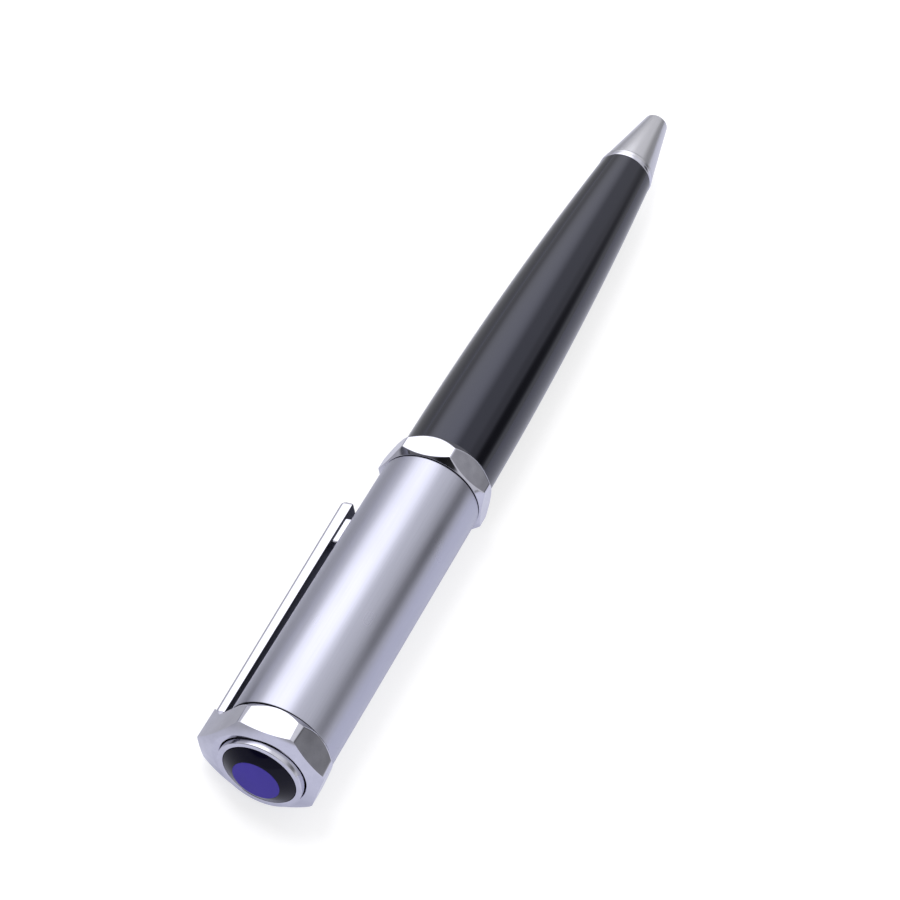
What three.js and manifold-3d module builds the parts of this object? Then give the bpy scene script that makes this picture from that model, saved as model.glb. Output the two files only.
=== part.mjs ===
// A twist-action ballpoint pen lying on one flat of its seven-sided centre ring.
// +X runs along the pen towards the writing tip and +Z is up.
// The origin is the middle of the ring's lowest flat. All sizes are millimetres.
import * as THREE from 'three';
import { mergeVertices } from 'three/addons/utils/BufferGeometryUtils.js';
import Module from 'manifold-3d';

const wasm = await Module();
wasm.setup();

// Lengths along the pen
const headLength = 4.55;
const ringLength = 3.85;
const barrelLength = 61.7;
const trimLength = 0.7;
const noseLength = 11.7;

// Outside of the pen
const capRadius = 6.75;
const capWall = 0.9;
const capEdge = 0.12;
const facets = 7;
const headApothem = capRadius + 0.2;
const ringRearChamfer = 0.75;
const ringFrontChamfer = 1.45;
const ringCollar = 0.3;
const ringRidgeRadius = 0.3;
const ringRidgeSteps = 2;
const ringApothem = capRadius + 0.17;
const clipFacetApothem = capRadius + 2.1;
const parkAngle = 11.2;
const barrelRearRadius = 6.3;
const barrelFrontRadius = 3.9;
const noseTipRadius = 1.7;
const grooveDepth = 0.12;

// Head: domed front, rounded ridges, coned corners, overhang that holds the clip
const headFaceRadius = 5.75;
const headDomeDepth = 1.1;
const headDomeShift = 0.8;
const headRidgeRadius = 1.6;
const headRidgeSteps = 4;
const clipRidgeRadius = 0.35;
const headCornerTrim = 0.05;
const headCornerDraft = 0.4;
const headRearChamfer = 1.0;
const headRearLip = 0.12;
const noseOverhang = 0.8;

// Stone setting
const bezelRadius = 5.48;
const bezelGap = 0.13;
const bezelDepth = 1.5;
const bezelRimHeight = 0.76;
const bezelRimSteps = 5;
const stoneRadius = 4.7;
const stoneTableRadius = 3.05;
const stoneCrownHeight = 0.83;
const stoneDepth = 1.6;
const settingClearance = 0.05;

// Clip
const clipWidth = 3.3;
const clipThickness = 1.35;
const clipTipThickness = 1.5;
const clipReach = 36.0;
const clipRise = 1.25;
const clipEndLength = 2.0;
const padWidth = 2.7;
const padLength = 4.3;
const padInset = 2.3;
const padEdge = 0.4;
const clipEdge = 0.25;
const padClearance = 0.12;
const clipOpenAngle = 3;
const tongueWidth = 2.3;
const tongueThickness = 0.9;
const tongueLength = 2.6;
const tongueDrop = 0.2;
const pinRadius = 0.35;
const pinSeat = 0.75;
const leafThickness = 0.15;
const pocketClearance = 0.14;

// Head fixing
const screwHeadRadius = 3.2;
const screwHeadLength = 0.9;
const screwRadius = 1.6;
const screwLength = 6.0;
const screwSlotWidth = 0.8;
const screwSlotDepth = 0.45;
const screwChamfer = 0.4;
const plugLength = 5.5;
const plugChamfer = 0.4;

// Twist mechanism
const travel = 5.2;
const twistTurn = 180;
const pushLength = 8.7;
const plugGap = 1.25;
const guideRadius = 4.05;
const guideBore = 3.45;
const guideCollarRadius = 5.1;
const guideCollarLength = 1.0;
const guideRecess = 1.0;
const sleeveRadius = 4.95;
const sleeveRearMargin = 3.2;
const sleeveFrontMargin = 3.6;
const sleeveFlangeLength = 2.2;
const sleeveFlangeCone = 0.6;
const slotOverrun = 1.35;
const slotSteps = 22;
const drivePinInset = 0.15;
const crossPinRadius = 0.7;
const plungerRadius = 3.35;
const plungerTail = 2.4;
const plungerChamfer = 0.4;
const plungerCupDepth = 0.8;
const plungerCupRadius = 2.35;
const circlipThickness = 0.5;
const circlipWidth = 0.75;
const circlipGap = 1.6;
const circlipGroove = 0.3;
const circlipLand = 0.8;

// Joint between the two halves
const hubLength = 6.0;
const hubFlangeDepth = 0.8;
const hubNeckRadius = 5.2;
const hubNeckReach = 0.3;
const threadRadius = 4.7;
const threadLength = 7.5;
const glideWasherThickness = 0.2;
const glideWasherInset = 0.2;
const oRingCord = 0.5;
const oRingInset = 1.6;
const oRingSteps = 8;
const oRingPlay = 0.1;
const hubChamfer = 0.3;
const threadChamfer = 0.4;
const refillPlay = 0.2;
const insertWall = 0.45;
const insertLength = 8.5;

// Barrel inside and nose
const barrelBore = 4.3;
const barrelNoseBore = 3.42;
const boreTaperLength = 18;
const boreRunOut = 0.5;
const barrelSteps = 9;
const spigotWall = 0.32;
const spigotLength = 5.5;
const trimProud = 0.05;
const trimEdge = 0.15;
const noseBandLength = 0.6;
const noseBandInset = 0.1;
const noseGrooveLength = 0.12;
const noseEdge = 0.08;
const noseWall = 0.55;
const mouthRadius = 1.32;
const mouthClearance = 0.3;
const mouthRoundSteps = 3;
const springSeatRadius = 1.62;
const springSeatFromTip = 6.1;

// Refill, of the common 98 mm pattern
const refillLength = 98.1;
const refillRadius = 2.95;
const refillNeckRadius = 1.5;
const refillNeckLength = 8.0;
const nozzleRadius = 1.18;
const nozzleLength = 5.8;
const nozzleTaper = 2.4;
const refillWall = 0.25;
const refillPlugLength = 5.0;
const refillPlugStep = 2.2;
const refillChamfer = 0.5;
const refillNeckFillet = 0.15;
const refillNotches = 3;
const refillNotchDepth = 1.2;
const refillNotchWidth = 0.6;
const ballRadius = 0.5;
const ballProud = 0.35;
const ballClearance = 0.04;
const nozzleLip = 0.07;
const socketSteps = 5;
const ballSides = 16;
const retractDepth = 2.3;

// Return spring
const springWire = 0.2;
const springRadius = 1.98;
const springTurns = 10;
const springStepsPerTurn = 8;
const springSides = 5;

// Clearances
const runningClearance = 0.06;
const fitClearance = 0.04;
const endPlay = 0.1;
const axisCut = 2;

// Facet counts of turned pieces
const bigSides = 42;
const middleSides = 28;
const smallSides = 18;

// Stations along X, counted from the middle of the ring
const ringRear = -ringLength / 2;
const ringFront = ringLength / 2;
const capFront = ringRear - glideWasherThickness;
const barrelFront = ringFront + barrelLength;
const noseRear = barrelFront + trimLength;
const noseTip = noseRear + noseLength;
const ballCentre = noseTip - retractDepth - ballRadius;
const refillRear = ballCentre + ballRadius - refillLength;
const pinX = refillRear - pushLength;
const sleeveRear = pinX - sleeveRearMargin;
const sleeveFront = pinX + travel + sleeveFrontMargin;
const circlipRear = sleeveRear - endPlay - circlipThickness;
const guideRear = circlipRear - circlipLand;
const capRear = guideRear - plugGap - plugLength;
const headFront = capRear - headLength;
const capBore = capRadius - capWall;

const degree = Math.PI / 180;
const facetTurn = 360 / facets;
const ringAngle = -90;
const clipAngle = ringAngle + facetTurn + parkAngle;

// Welds a geometry's vertices and drops the slivers left where a profile meets the axis.
function weld(geometry) {
  const bare = geometry.index ? geometry.toNonIndexed() : geometry.clone();
  bare.deleteAttribute('normal');
  bare.deleteAttribute('uv');
  const merged = mergeVertices(bare, 1e-5);
  const corners = merged.index.array;
  const kept = [];
  for (let i = 0; i < corners.length; i += 3) {
    const [a, b, c] = [corners[i], corners[i + 1], corners[i + 2]];
    if (a !== b && b !== c && c !== a) kept.push(a, b, c);
  }
  merged.setIndex(kept);
  return merged;
}

function toSolid(geometry) {
  const welded = weld(geometry);
  return new wasm.Manifold(new wasm.Mesh({
    numProp: 3,
    vertProperties: new Float32Array(welded.attributes.position.array),
    triVerts: new Uint32Array(welded.index.array),
  }));
}

function toGeometry(solid) {
  const mesh = solid.getMesh();
  const geometry = new THREE.BufferGeometry();
  geometry.setAttribute('position', new THREE.BufferAttribute(new Float32Array(mesh.vertProperties), 3));
  geometry.setIndex(new THREE.BufferAttribute(new Uint32Array(mesh.triVerts), 1));
  return geometry;
}

// Turns a profile of [x, radius] points about the X axis. A profile that does not
// start and end on the axis is closed on itself.
function turned(profile, sides) {
  const points = profile.map(([x, r]) => new THREE.Vector2(r, x));
  if (THREE.ShapeUtils.area(points) < 0) points.reverse();
  const onAxis = points[0].x === 0 && points[points.length - 1].x === 0;
  if (!onAxis) points.push(points[0].clone());
  const geometry = new THREE.LatheGeometry(points, sides);
  geometry.rotateZ(-Math.PI / 2);
  return weld(geometry);
}

// A plain tube or rod between two stations.
function tube(x0, x1, outer, inner, sides) {
  return turned([[x0, inner], [x1, inner], [x1, outer], [x0, outer]], sides);
}

function rod(x0, x1, radius, sides) {
  return turned([[x0, 0], [x0, radius], [x1, radius], [x1, 0]], sides);
}

// Extrudes a closed outline of [y, z] points along X.
function prism(outline, x0, x1) {
  const shape = new THREE.Shape(outline.map(([y, z]) => new THREE.Vector2(y, z)));
  const geometry = new THREE.ExtrudeGeometry(shape, { depth: x1 - x0, bevelEnabled: false });
  const axes = new THREE.Matrix4().makeBasis(
    new THREE.Vector3(0, 1, 0), new THREE.Vector3(0, 0, 1), new THREE.Vector3(1, 0, 0));
  geometry.applyMatrix4(axes);
  geometry.translate(x0, 0, 0);
  return weld(geometry);
}

// Extrudes a closed outline of [x, z] points across Y, centred on it.
function slab(outline, width) {
  const shape = new THREE.Shape(outline.map(([x, z]) => new THREE.Vector2(x, z)));
  const geometry = new THREE.ExtrudeGeometry(shape, { depth: width, bevelEnabled: false });
  geometry.translate(0, 0, -width / 2);
  const axes = new THREE.Matrix4().makeBasis(
    new THREE.Vector3(1, 0, 0), new THREE.Vector3(0, 0, 1), new THREE.Vector3(0, -1, 0));
  geometry.applyMatrix4(axes);
  return weld(geometry);
}

function block(x0, x1, y0, y1, z0, z1) {
  const geometry = new THREE.BoxGeometry(x1 - x0, y1 - y0, z1 - z0);
  geometry.translate((x0 + x1) / 2, (y0 + y1) / 2, (z0 + z1) / 2);
  return weld(geometry);
}

// A round pin across the pen, along Y, at a station x and a height z.
function crossRod(x, z, radius, length, sides) {
  const geometry = new THREE.CylinderGeometry(radius, radius, length, sides);
  geometry.translate(x, 0, z);
  return weld(geometry);
}

// Turns a geometry drawn in the clip's plane, where +Z is outwards, to the clip's side.
function toClipSide(geometry) {
  return geometry.rotateX((clipAngle - 90) * degree);
}

function arc(cx, cr, radius, from, to, steps) {
  const points = [];
  for (let i = 0; i <= steps; i += 1) {
    const angle = (from + (to - from) * i / steps) * degree;
    points.push([cx + radius * Math.cos(angle), cr + radius * Math.sin(angle)]);
  }
  return points;
}

// Where a facet meets the next one round, each at its own distance from the axis.
function facetCorner(apothem, nextApothem, angle) {
  const a = angle * degree;
  const b = a + facetTurn * degree;
  const det = Math.sin(b - a);
  return [(apothem * Math.sin(b) - nextApothem * Math.sin(a)) / det,
    (nextApothem * Math.cos(a) - apothem * Math.cos(b)) / det];
}

// Outline of facets at the given distances from the axis. Ridge i, between facets i and i + 1,
// is an arc of its own radius from the one facet's normal to the other's.
function facetOutline(apothems, ridgeRadii, steps, firstAngle) {
  return apothems.flatMap((apothem, i) => {
    const radius = ridgeRadii[i];
    const angle = firstAngle + i * facetTurn;
    const [y, z] = facetCorner(apothem - radius, apothems[(i + 1) % facets] - radius, angle);
    return arc(y, z, radius, angle, angle + facetTurn, steps);
  });
}

function sameAllRound(value) {
  return Array.from({ length: facets }, () => value);
}

// Distance from the axis to the top of a rounded ridge.
function ridgeReach(apothem, radius) {
  return (apothem - radius) / Math.cos(Math.PI / facets) + radius;
}

// The barrel's outside is one long arc, level at the ring and closing towards the nose.
function barrelRadius(x) {
  const drop = barrelRearRadius - barrelFrontRadius;
  const sweep = (barrelLength ** 2 + drop ** 2) / (2 * drop);
  return barrelRearRadius - sweep + Math.sqrt(sweep ** 2 - (x - ringFront) ** 2);
}

// Head: a seven-sided block with rounded ridges, domed at its end, its corners coned back to
// the cap, with one facet standing out over the cap to carry the clip. The dome's own axis is
// moved towards that facet, to the middle of the block's outline.
function headBody() {
  const corner = ridgeReach(headApothem, headRidgeRadius) + headCornerTrim;
  const slope = headDomeDepth / (corner + headDomeShift - headFaceRadius);
  const nosePeak = clipFacetApothem + 1;
  const apothems = sameAllRound(headApothem);
  apothems[0] = clipFacetApothem;
  const ridges = sameAllRound(headRidgeRadius);
  ridges[0] = clipRidgeRadius;
  ridges[facets - 1] = clipRidgeRadius;
  const faceted = toSolid(prism(facetOutline(apothems, ridges, headRidgeSteps, clipAngle),
    headFront, capRear + noseOverhang));
  const cone = turned([
    [headFront, 0], [headFront, headFaceRadius],
    [headFront + slope * (nosePeak - headFaceRadius), nosePeak],
    [capRear + axisCut, nosePeak], [capRear + axisCut, 0],
  ], bigSides);
  const towardsClip = clipAngle * degree;
  cone.translate(0, headDomeShift * Math.cos(towardsClip), headDomeShift * Math.sin(towardsClip));
  const dome = toSolid(cone);
  const coned = toSolid(turned([
    [headFront - axisCut, 0], [headFront - axisCut, corner], [headFront + headDomeDepth, corner],
    [capRear - headRearChamfer, corner - headCornerDraft],
    [capRear - headRearLip, capRadius + headRearLip], [capRear - headRearLip, capBore], [capRear, capBore],
    [capRear, 0],
  ], bigSides));
  const noseFloor = capRadius + headRearLip;
  const nose = toSolid(toClipSide(slab([
    [headFront - axisCut, noseFloor], [capRear + noseOverhang, noseFloor],
    [capRear + noseOverhang, nosePeak], [headFront - axisCut, nosePeak],
  ], clipNoseWidth())));
  return faceted.intersect(dome).intersect(coned.add(nose));
}

// The overhang is as wide as the clip's own facet is at the cap's surface.
function clipNoseWidth() {
  const turn = facetTurn * degree;
  return 2 * (headApothem - capRadius * Math.cos(turn)) / Math.sin(turn);
}

const tongueFront = capRear + noseOverhang - tongueLength;
const tongueMiddle = clipFacetApothem - clipThickness / 2 - tongueDrop;
const pivotX = tongueFront + pinSeat;
const pocketHalfHeight = tongueThickness / 2 + pocketClearance;
const pocketFloor = tongueMiddle - pocketHalfHeight - leafThickness;
const pinLength = tongueWidth + 4 * pinRadius;

function clipPocket() {
  const pocket = block(
    tongueFront - pocketClearance, capRear + noseOverhang + axisCut,
    -tongueWidth / 2 - pocketClearance, tongueWidth / 2 + pocketClearance,
    pocketFloor, tongueMiddle + pocketHalfHeight);
  const pinHole = crossRod(pivotX, tongueMiddle, pinRadius + fitClearance,
    pinLength + 2 * fitClearance, smallSides);
  return toSolid(toClipSide(pocket)).add(toSolid(toClipSide(pinHole)));
}

const bezelSeatX = headFront + bezelDepth;
const screwSeatX = bezelSeatX + endPlay + screwHeadLength;

function headGeometry() {
  const bezelRecess = toSolid(rod(headFront - axisCut, bezelSeatX, bezelRadius + bezelGap, bigSides));
  const screwRecess = toSolid(rod(headFront - axisCut, screwSeatX, screwHeadRadius + bezelGap, middleSides));
  const bore = toSolid(rod(headFront, capRear + axisCut, screwRadius + runningClearance, smallSides));
  return toGeometry(headBody()
    .subtract(bezelRecess).subtract(screwRecess).subtract(bore).subtract(clipPocket()));
}

// Bezel: a shallow cup whose rolled rim holds the stone.
function bezelGeometry() {
  const rimRadius = (bezelRadius - stoneRadius - settingClearance) / 2;
  const rimCentre = bezelRadius - rimRadius;
  const rimX = headFront - bezelRimHeight + rimRadius;
  const rim = arc(rimX, rimCentre, rimRadius, 90, 270, bezelRimSteps);
  return turned([
    [bezelSeatX, 0], [bezelSeatX, bezelRadius], [headFront, bezelRadius], ...rim,
    [headFront - bezelRimHeight + stoneDepth, stoneRadius + settingClearance],
    [headFront - bezelRimHeight + stoneDepth, 0],
  ], bigSides);
}

// Stone: flat table, bevelled crown, short girdle and a flat back.
function stoneGeometry() {
  const girdle = headFront - bezelRimHeight;
  const back = girdle + stoneDepth - settingClearance;
  const backRadius = stoneTableRadius;
  return turned([
    [girdle - stoneCrownHeight, 0], [girdle - stoneCrownHeight, stoneTableRadius],
    [girdle, stoneRadius], [girdle + stoneDepth / 3, stoneRadius],
    [back, backRadius], [back, 0],
  ], bigSides);
}

// Slotted screw that pulls the head on to the plug in the cap.
function screwGeometry() {
  const headX = screwSeatX - screwHeadLength;
  const end = screwSeatX + screwLength;
  const body = toSolid(turned([
    [headX, 0], [headX, screwHeadRadius], [screwSeatX, screwHeadRadius], [screwSeatX, screwRadius],
    [end - screwChamfer, screwRadius], [end, screwRadius - screwChamfer], [end, 0],
  ], smallSides));
  const slot = block(headX - axisCut, headX + screwSlotDepth,
    -screwHeadRadius - 1, screwHeadRadius + 1, -screwSlotWidth / 2, screwSlotWidth / 2);
  return toGeometry(body.subtract(toSolid(slot)));
}

// Plug pressed into the rear of the cap, drilled for the screw.
function plugGeometry() {
  const outer = capBore - fitClearance;
  const hole = screwRadius + runningClearance;
  const front = capRear + plugLength;
  return turned([
    [capRear, hole], [capRear, outer], [front - plugChamfer, outer], [front, outer - plugChamfer],
    [front, hole],
  ], middleSides);
}

// Cap: the long satin tube, its edges broken by a fine chamfer.
function capGeometry() {
  return turned([
    [capRear, capBore], [capRear, capRadius - capEdge], [capRear + capEdge, capRadius],
    [capFront - capEdge, capRadius], [capFront, capRadius - capEdge], [capFront, capBore],
  ], bigSides);
}

// Clip: a straight bar that stands off the cap and rests on it with its pad.
const barRear = capRear + noseOverhang + pocketClearance;
const barEnd = barRear + clipReach;

function clipOuter(x) {
  return clipFacetApothem + Math.tan(clipRise * degree) * (x - barRear);
}

function clipGeometry() {
  const shoulder = barEnd - clipEndLength;
  const innerRear = clipFacetApothem - clipThickness;
  const innerEnd = clipOuter(barEnd) - clipTipThickness;
  const bar = toSolid(slab([
    [barRear, innerRear], [barEnd - clipEdge, innerEnd - clipEdge], [barEnd, innerEnd],
    [barEnd, clipOuter(barEnd) - 2 * clipEdge], [barEnd - clipEdge, clipOuter(barEnd) - clipEdge / 2],
    [shoulder, clipOuter(shoulder)], [barRear, clipOuter(barRear)],
  ], clipWidth));
  const padFront = barEnd - padInset;
  const padRear = padFront - padLength;
  const padInner = capRadius + padClearance;
  const padTop = innerEnd + clipEdge;
  const pad = toSolid(slab([
    [padRear, padTop], [padRear, padInner + padEdge], [padRear + padEdge, padInner],
    [padFront - padEdge, padInner], [padFront, padInner + padEdge], [padFront, padTop],
  ], padWidth));
  const neck = toSolid(block(tongueFront, barRear + padEdge,
    -tongueWidth / 2, tongueWidth / 2,
    tongueMiddle - tongueThickness / 2, tongueMiddle + tongueThickness / 2));
  const pinHole = toSolid(crossRod(pivotX, tongueMiddle, pinRadius + runningClearance,
    tongueWidth + 1, smallSides));
  return toGeometry(bar.add(pad).add(neck).subtract(pinHole));
}

function clipPinGeometry() {
  return crossRod(pivotX, tongueMiddle, pinRadius, pinLength, smallSides);
}

// Leaf under the clip's tongue that presses the pad on to the cap.
function clipLeafGeometry() {
  const floor = pocketFloor + fitClearance / 2;
  const top = floor + leafThickness - fitClearance / 2;
  const rise = pocketClearance - fitClearance;
  const front = tongueFront;
  const back = capRear + noseOverhang - pinSeat / 4;
  return slab([
    [front, floor], [back, floor], [back, top], [(front + back) / 2, top],
    [front + leafThickness, top + rise], [front, top + rise - fitClearance],
  ], tongueWidth - pinRadius);
}

// Guide tube: carries the plunger and keeps its pin from turning.
const collarRear = sleeveFront + endPlay;
const guideFront = ringFront + guideRecess;

function guideGeometry() {
  const grooveRear = circlipRear - fitClearance;
  const grooveFront = circlipRear + circlipThickness + fitClearance;
  const grooveRadius = guideRadius - circlipGroove;
  const body = toSolid(turned([
    [guideRear, guideBore], [guideRear, guideRadius],
    [grooveRear, guideRadius], [grooveRear, grooveRadius],
    [grooveFront, grooveRadius], [grooveFront, guideRadius],
    [collarRear, guideRadius], [collarRear, guideCollarRadius],
    [collarRear + guideCollarLength, guideCollarRadius], [collarRear + guideCollarLength, guideRadius],
    [guideFront, guideRadius], [guideFront, guideBore],
  ], middleSides));
  const half = crossPinRadius + runningClearance;
  const slot = toSolid(block(pinX - half, pinX + travel + half,
    -guideRadius - 1, guideRadius + 1, -half, half));
  return toGeometry(body.subtract(slot));
}

// One helical slot of the drive sleeve, as a ribbon of quads from rear to front.
function helixCutter(startAngle) {
  const half = crossPinRadius + runningClearance;
  const turn = twistTurn * degree;
  const lead = Math.atan2(travel, turn * sleeveRadius);
  const halfX = half / Math.cos(lead);
  const overrun = slotOverrun * half / sleeveRadius;
  const inner = guideRadius - slotOverrun;
  const outer = sleeveRadius + slotOverrun;
  const positions = [];
  for (let i = 0; i <= slotSteps; i += 1) {
    const s = -overrun + (turn + 2 * overrun) * i / slotSteps;
    const angle = startAngle * degree - s;
    const x = pinX + travel * s / turn;
    for (const [dx, r] of [[-halfX, outer], [halfX, outer], [halfX, inner], [-halfX, inner]]) {
      positions.push(x + dx, r * Math.cos(angle), r * Math.sin(angle));
    }
  }
  return ribbon(positions, 4, slotSteps);
}

// Closes a run of rings, each of the same number of points, into one solid.
function ribbon(positions, sides, steps) {
  const index = [];
  for (let i = 0; i < steps; i += 1) {
    for (let j = 0; j < sides; j += 1) {
      const a = i * sides + j;
      const b = i * sides + (j + 1) % sides;
      index.push(a, b, b + sides, a, b + sides, a + sides);
    }
  }
  const last = steps * sides;
  for (let j = 1; j < sides - 1; j += 1) {
    index.push(0, j + 1, j, last, last + j, last + j + 1);
  }
  const geometry = new THREE.BufferGeometry();
  geometry.setAttribute('position', new THREE.Float32BufferAttribute(positions, 3));
  geometry.setIndex(index);
  return weld(geometry);
}

// Drive sleeve: turns with the cap and screws the plunger's pin forwards.
function sleeveGeometry() {
  const bore = guideRadius + runningClearance;
  const flange = capBore - fitClearance;
  const body = toSolid(turned([
    [sleeveRear, bore], [sleeveRear, sleeveRadius],
    [sleeveFront - sleeveFlangeLength - sleeveFlangeCone, sleeveRadius],
    [sleeveFront - sleeveFlangeLength, flange], [sleeveFront, flange], [sleeveFront, bore],
  ], bigSides));
  return toGeometry(body.subtract(toSolid(helixCutter(0))).subtract(toSolid(helixCutter(180))));
}

// Plunger: cup-ended piston behind the refill, crossed by the drive pin.
function plungerGeometry() {
  const rear = pinX - plungerTail;
  const front = refillRear - fitClearance;
  const cup = front - plungerCupDepth;
  const body = toSolid(turned([
    [rear, 0], [rear, plungerRadius - plungerChamfer], [rear + plungerChamfer, plungerRadius],
    [front, plungerRadius], [front, plungerCupRadius], [cup, plungerCupRadius - plungerChamfer], [cup, 0],
  ], middleSides));
  const hole = toSolid(crossRod(pinX, 0, crossPinRadius + fitClearance, 2 * plungerRadius + 1, smallSides));
  return toGeometry(body.subtract(hole));
}

function crossPinGeometry() {
  return crossRod(pinX, 0, crossPinRadius, 2 * (sleeveRadius - drivePinInset), smallSides);
}

// Split ring in the guide tube's groove that keeps the drive sleeve on.
function circlipGeometry() {
  const front = circlipRear + circlipThickness;
  const inner = guideRadius - circlipGroove + fitClearance;
  const ring = toSolid(tube(circlipRear, front, inner + circlipWidth, inner, middleSides));
  const gap = toSolid(block(front - axisCut, front + axisCut,
    -circlipGap / 2, circlipGap / 2, 0, guideRadius + axisCut));
  return toGeometry(ring.subtract(gap));
}

// Hub: joins the guide tube, the ring and the barrel, and steers the cap.
const hubRear = ringRear - hubLength;
const hubSeat = ringRear + hubFlangeDepth;
const threadFront = ringFront + threadLength;
const oRingX = hubRear + oRingInset;
const neckFront = ringFront + hubNeckReach;
const oRingRadius = capBore - fitClearance - oRingCord;

function hubGeometry() {
  const outer = capBore - runningClearance;
  const groove = oRingRadius - oRingCord - fitClearance;
  const halfGroove = oRingCord + oRingPlay;
  const bore = guideRadius + fitClearance;
  const refillWay = refillRadius + refillPlay;
  return turned([
    [hubRear, bore], [hubRear, outer - hubChamfer], [hubRear + hubChamfer, outer],
    [oRingX - halfGroove, outer], [oRingX - halfGroove, groove],
    [oRingX + halfGroove, groove], [oRingX + halfGroove, outer],
    [hubSeat, outer], [hubSeat, hubNeckRadius],
    [neckFront, hubNeckRadius], [neckFront, threadRadius], [threadFront - threadChamfer, threadRadius],
    [threadFront, threadRadius - threadChamfer], [threadFront, refillWay],
    [guideFront, refillWay], [guideFront, bore],
  ], bigSides);
}

// Soft ring that gives the twist its drag.
function oRingGeometry() {
  const seam = 360 / oRingSteps;
  return turned(arc(oRingX, oRingRadius, oRingCord, 0, 360 - seam, oRingSteps - 1), middleSides);
}

function glideWasherGeometry() {
  return tube(capFront, ringRear, capRadius - glideWasherInset, capBore + fitClearance, bigSides);
}

// Ring: a seven-sided band, both faces coned back from its corners.
function ringGeometry() {
  const corner = ridgeReach(ringApothem, ringRidgeRadius);
  const outline = facetOutline(sameAllRound(ringApothem), sameAllRound(ringRidgeRadius),
    ringRidgeSteps, ringAngle);
  const faceted = toSolid(prism(outline, ringRear, ringFront));
  const coned = toSolid(turned([
    [ringRear, 0], [ringRear, capRadius], [ringRear + ringRearChamfer, corner],
    [ringFront - ringFrontChamfer, corner], [ringFront, barrelRearRadius + ringCollar], [ringFront, 0],
  ], bigSides));
  const flangeSeat = toSolid(rod(ringRear - axisCut, hubSeat, capBore, bigSides));
  const bore = toSolid(rod(ringRear - axisCut, ringFront + axisCut, hubNeckRadius + fitClearance, bigSides));
  return toGeometry(faceted.intersect(coned).subtract(flangeSeat).subtract(bore));
}

// Barrel: black body, its outside a long arc, its bore stepped for the insert and nose.
function barrelGeometry() {
  const outside = [];
  for (let i = 0; i <= barrelSteps; i += 1) {
    const x = ringFront + barrelLength * i / barrelSteps;
    outside.push([x, barrelRadius(x)]);
  }
  const insertBore = threadRadius + runningClearance + insertWall + fitClearance;
  const insertEnd = ringFront + insertLength + boreRunOut;
  const spigotRear = barrelFront - spigotLength - boreRunOut;
  const taperRear = spigotRear - boreTaperLength;
  return turned([
    ...outside, [barrelFront, barrelNoseBore], [spigotRear, barrelNoseBore], [taperRear, barrelBore],
    [insertEnd, barrelBore], [insertEnd, insertBore], [ringFront, insertBore],
  ], bigSides);
}

// Threaded insert that the hub screws into.
function insertGeometry() {
  const bore = threadRadius + runningClearance;
  const rear = neckFront + fitClearance;
  const front = ringFront + insertLength;
  return tube(rear, front, bore + insertWall, bore, middleSides);
}

// Thin bright ring between the black barrel and the nose.
function trimGeometry() {
  const outer = barrelFrontRadius + trimProud;
  const inner = barrelNoseBore;
  return turned([
    [barrelFront, inner], [barrelFront, outer - trimEdge], [barrelFront + trimEdge, outer],
    [noseRear - trimEdge, outer], [noseRear, outer - trimEdge], [noseRear, inner],
  ], bigSides);
}

// Nose: a cone behind one stepped band, rounded at the mouth, with a spigot into the barrel.
function noseGeometry() {
  const bandFront = noseRear + noseBandLength;
  const bandRadius = barrelFrontRadius - noseBandInset;
  const coneRear = bandFront + noseGrooveLength;
  const coneRadius = bandRadius - noseEdge;
  const tipRound = (noseTipRadius - mouthRadius) / 2;
  const seat = noseTip - springSeatFromTip;
  const mouthRear = nozzleRear + travel + mouthClearance;
  const spigotOuter = barrelNoseBore - fitClearance;
  const spigotInner = spigotOuter - spigotWall;
  const slope = (coneRadius - noseTipRadius) / (noseTip - coneRear);
  const coneAt = (x) => noseTipRadius + slope * (noseTip - x);
  const chamber = coneAt(seat) - noseWall;
  const chamberRear = noseTip - (spigotInner + noseWall - noseTipRadius) / slope;
  return turned([
    [barrelFront - spigotLength, spigotInner], [barrelFront - spigotLength, spigotOuter],
    [noseRear, spigotOuter], [noseRear, bandRadius - noseEdge], [noseRear + noseEdge, bandRadius],
    [bandFront, bandRadius], [bandFront, coneRadius - grooveDepth],
    [coneRear, coneRadius - grooveDepth], [coneRear, coneRadius],
    ...arc(noseTip - tipRound, noseTipRadius - tipRound, tipRound, 90, 0, mouthRoundSteps),
    [noseTip, mouthRadius], [mouthRear, mouthRadius], [mouthRear - mouthClearance, springSeatRadius],
    [seat, springSeatRadius], [seat, chamber], [chamberRear, spigotInner],
  ], bigSides);
}

// Return spring between the refill's shoulder and the seat inside the nose.
const refillShoulder = ballCentre + ballRadius - nozzleLength - refillNeckLength;
const springRear = refillShoulder + springWire + endPlay;
const springFront = noseTip - springSeatFromTip - springWire - endPlay;

function springGeometry() {
  const steps = springTurns * springStepsPerTurn;
  const length = springFront - springRear;
  const positions = [];
  for (let i = 0; i <= steps; i += 1) {
    const angle = 2 * Math.PI * i / springStepsPerTurn;
    for (let j = 0; j < springSides; j += 1) {
      const around = -2 * Math.PI * j / springSides;
      const r = springRadius + springWire * Math.cos(around);
      positions.push(springRear + length * i / steps + springWire * Math.sin(around),
        r * Math.cos(angle), r * Math.sin(angle));
    }
  }
  return ribbon(positions, springSides, steps);
}

// Least distance between neighbouring turns, measured on the spring's own points.
function springGap(geometry) {
  const p = geometry.attributes.position;
  const perTurn = springStepsPerTurn * springSides;
  let least = Infinity;
  for (let i = 0; i + perTurn < p.count; i += 1) {
    for (let j = i + perTurn - springSides; j < Math.min(p.count, i + perTurn + springSides); j += 1) {
      least = Math.min(least, Math.hypot(
        p.getX(i) - p.getX(j), p.getY(i) - p.getY(j), p.getZ(i) - p.getZ(j)));
    }
  }
  return least;
}

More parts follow.
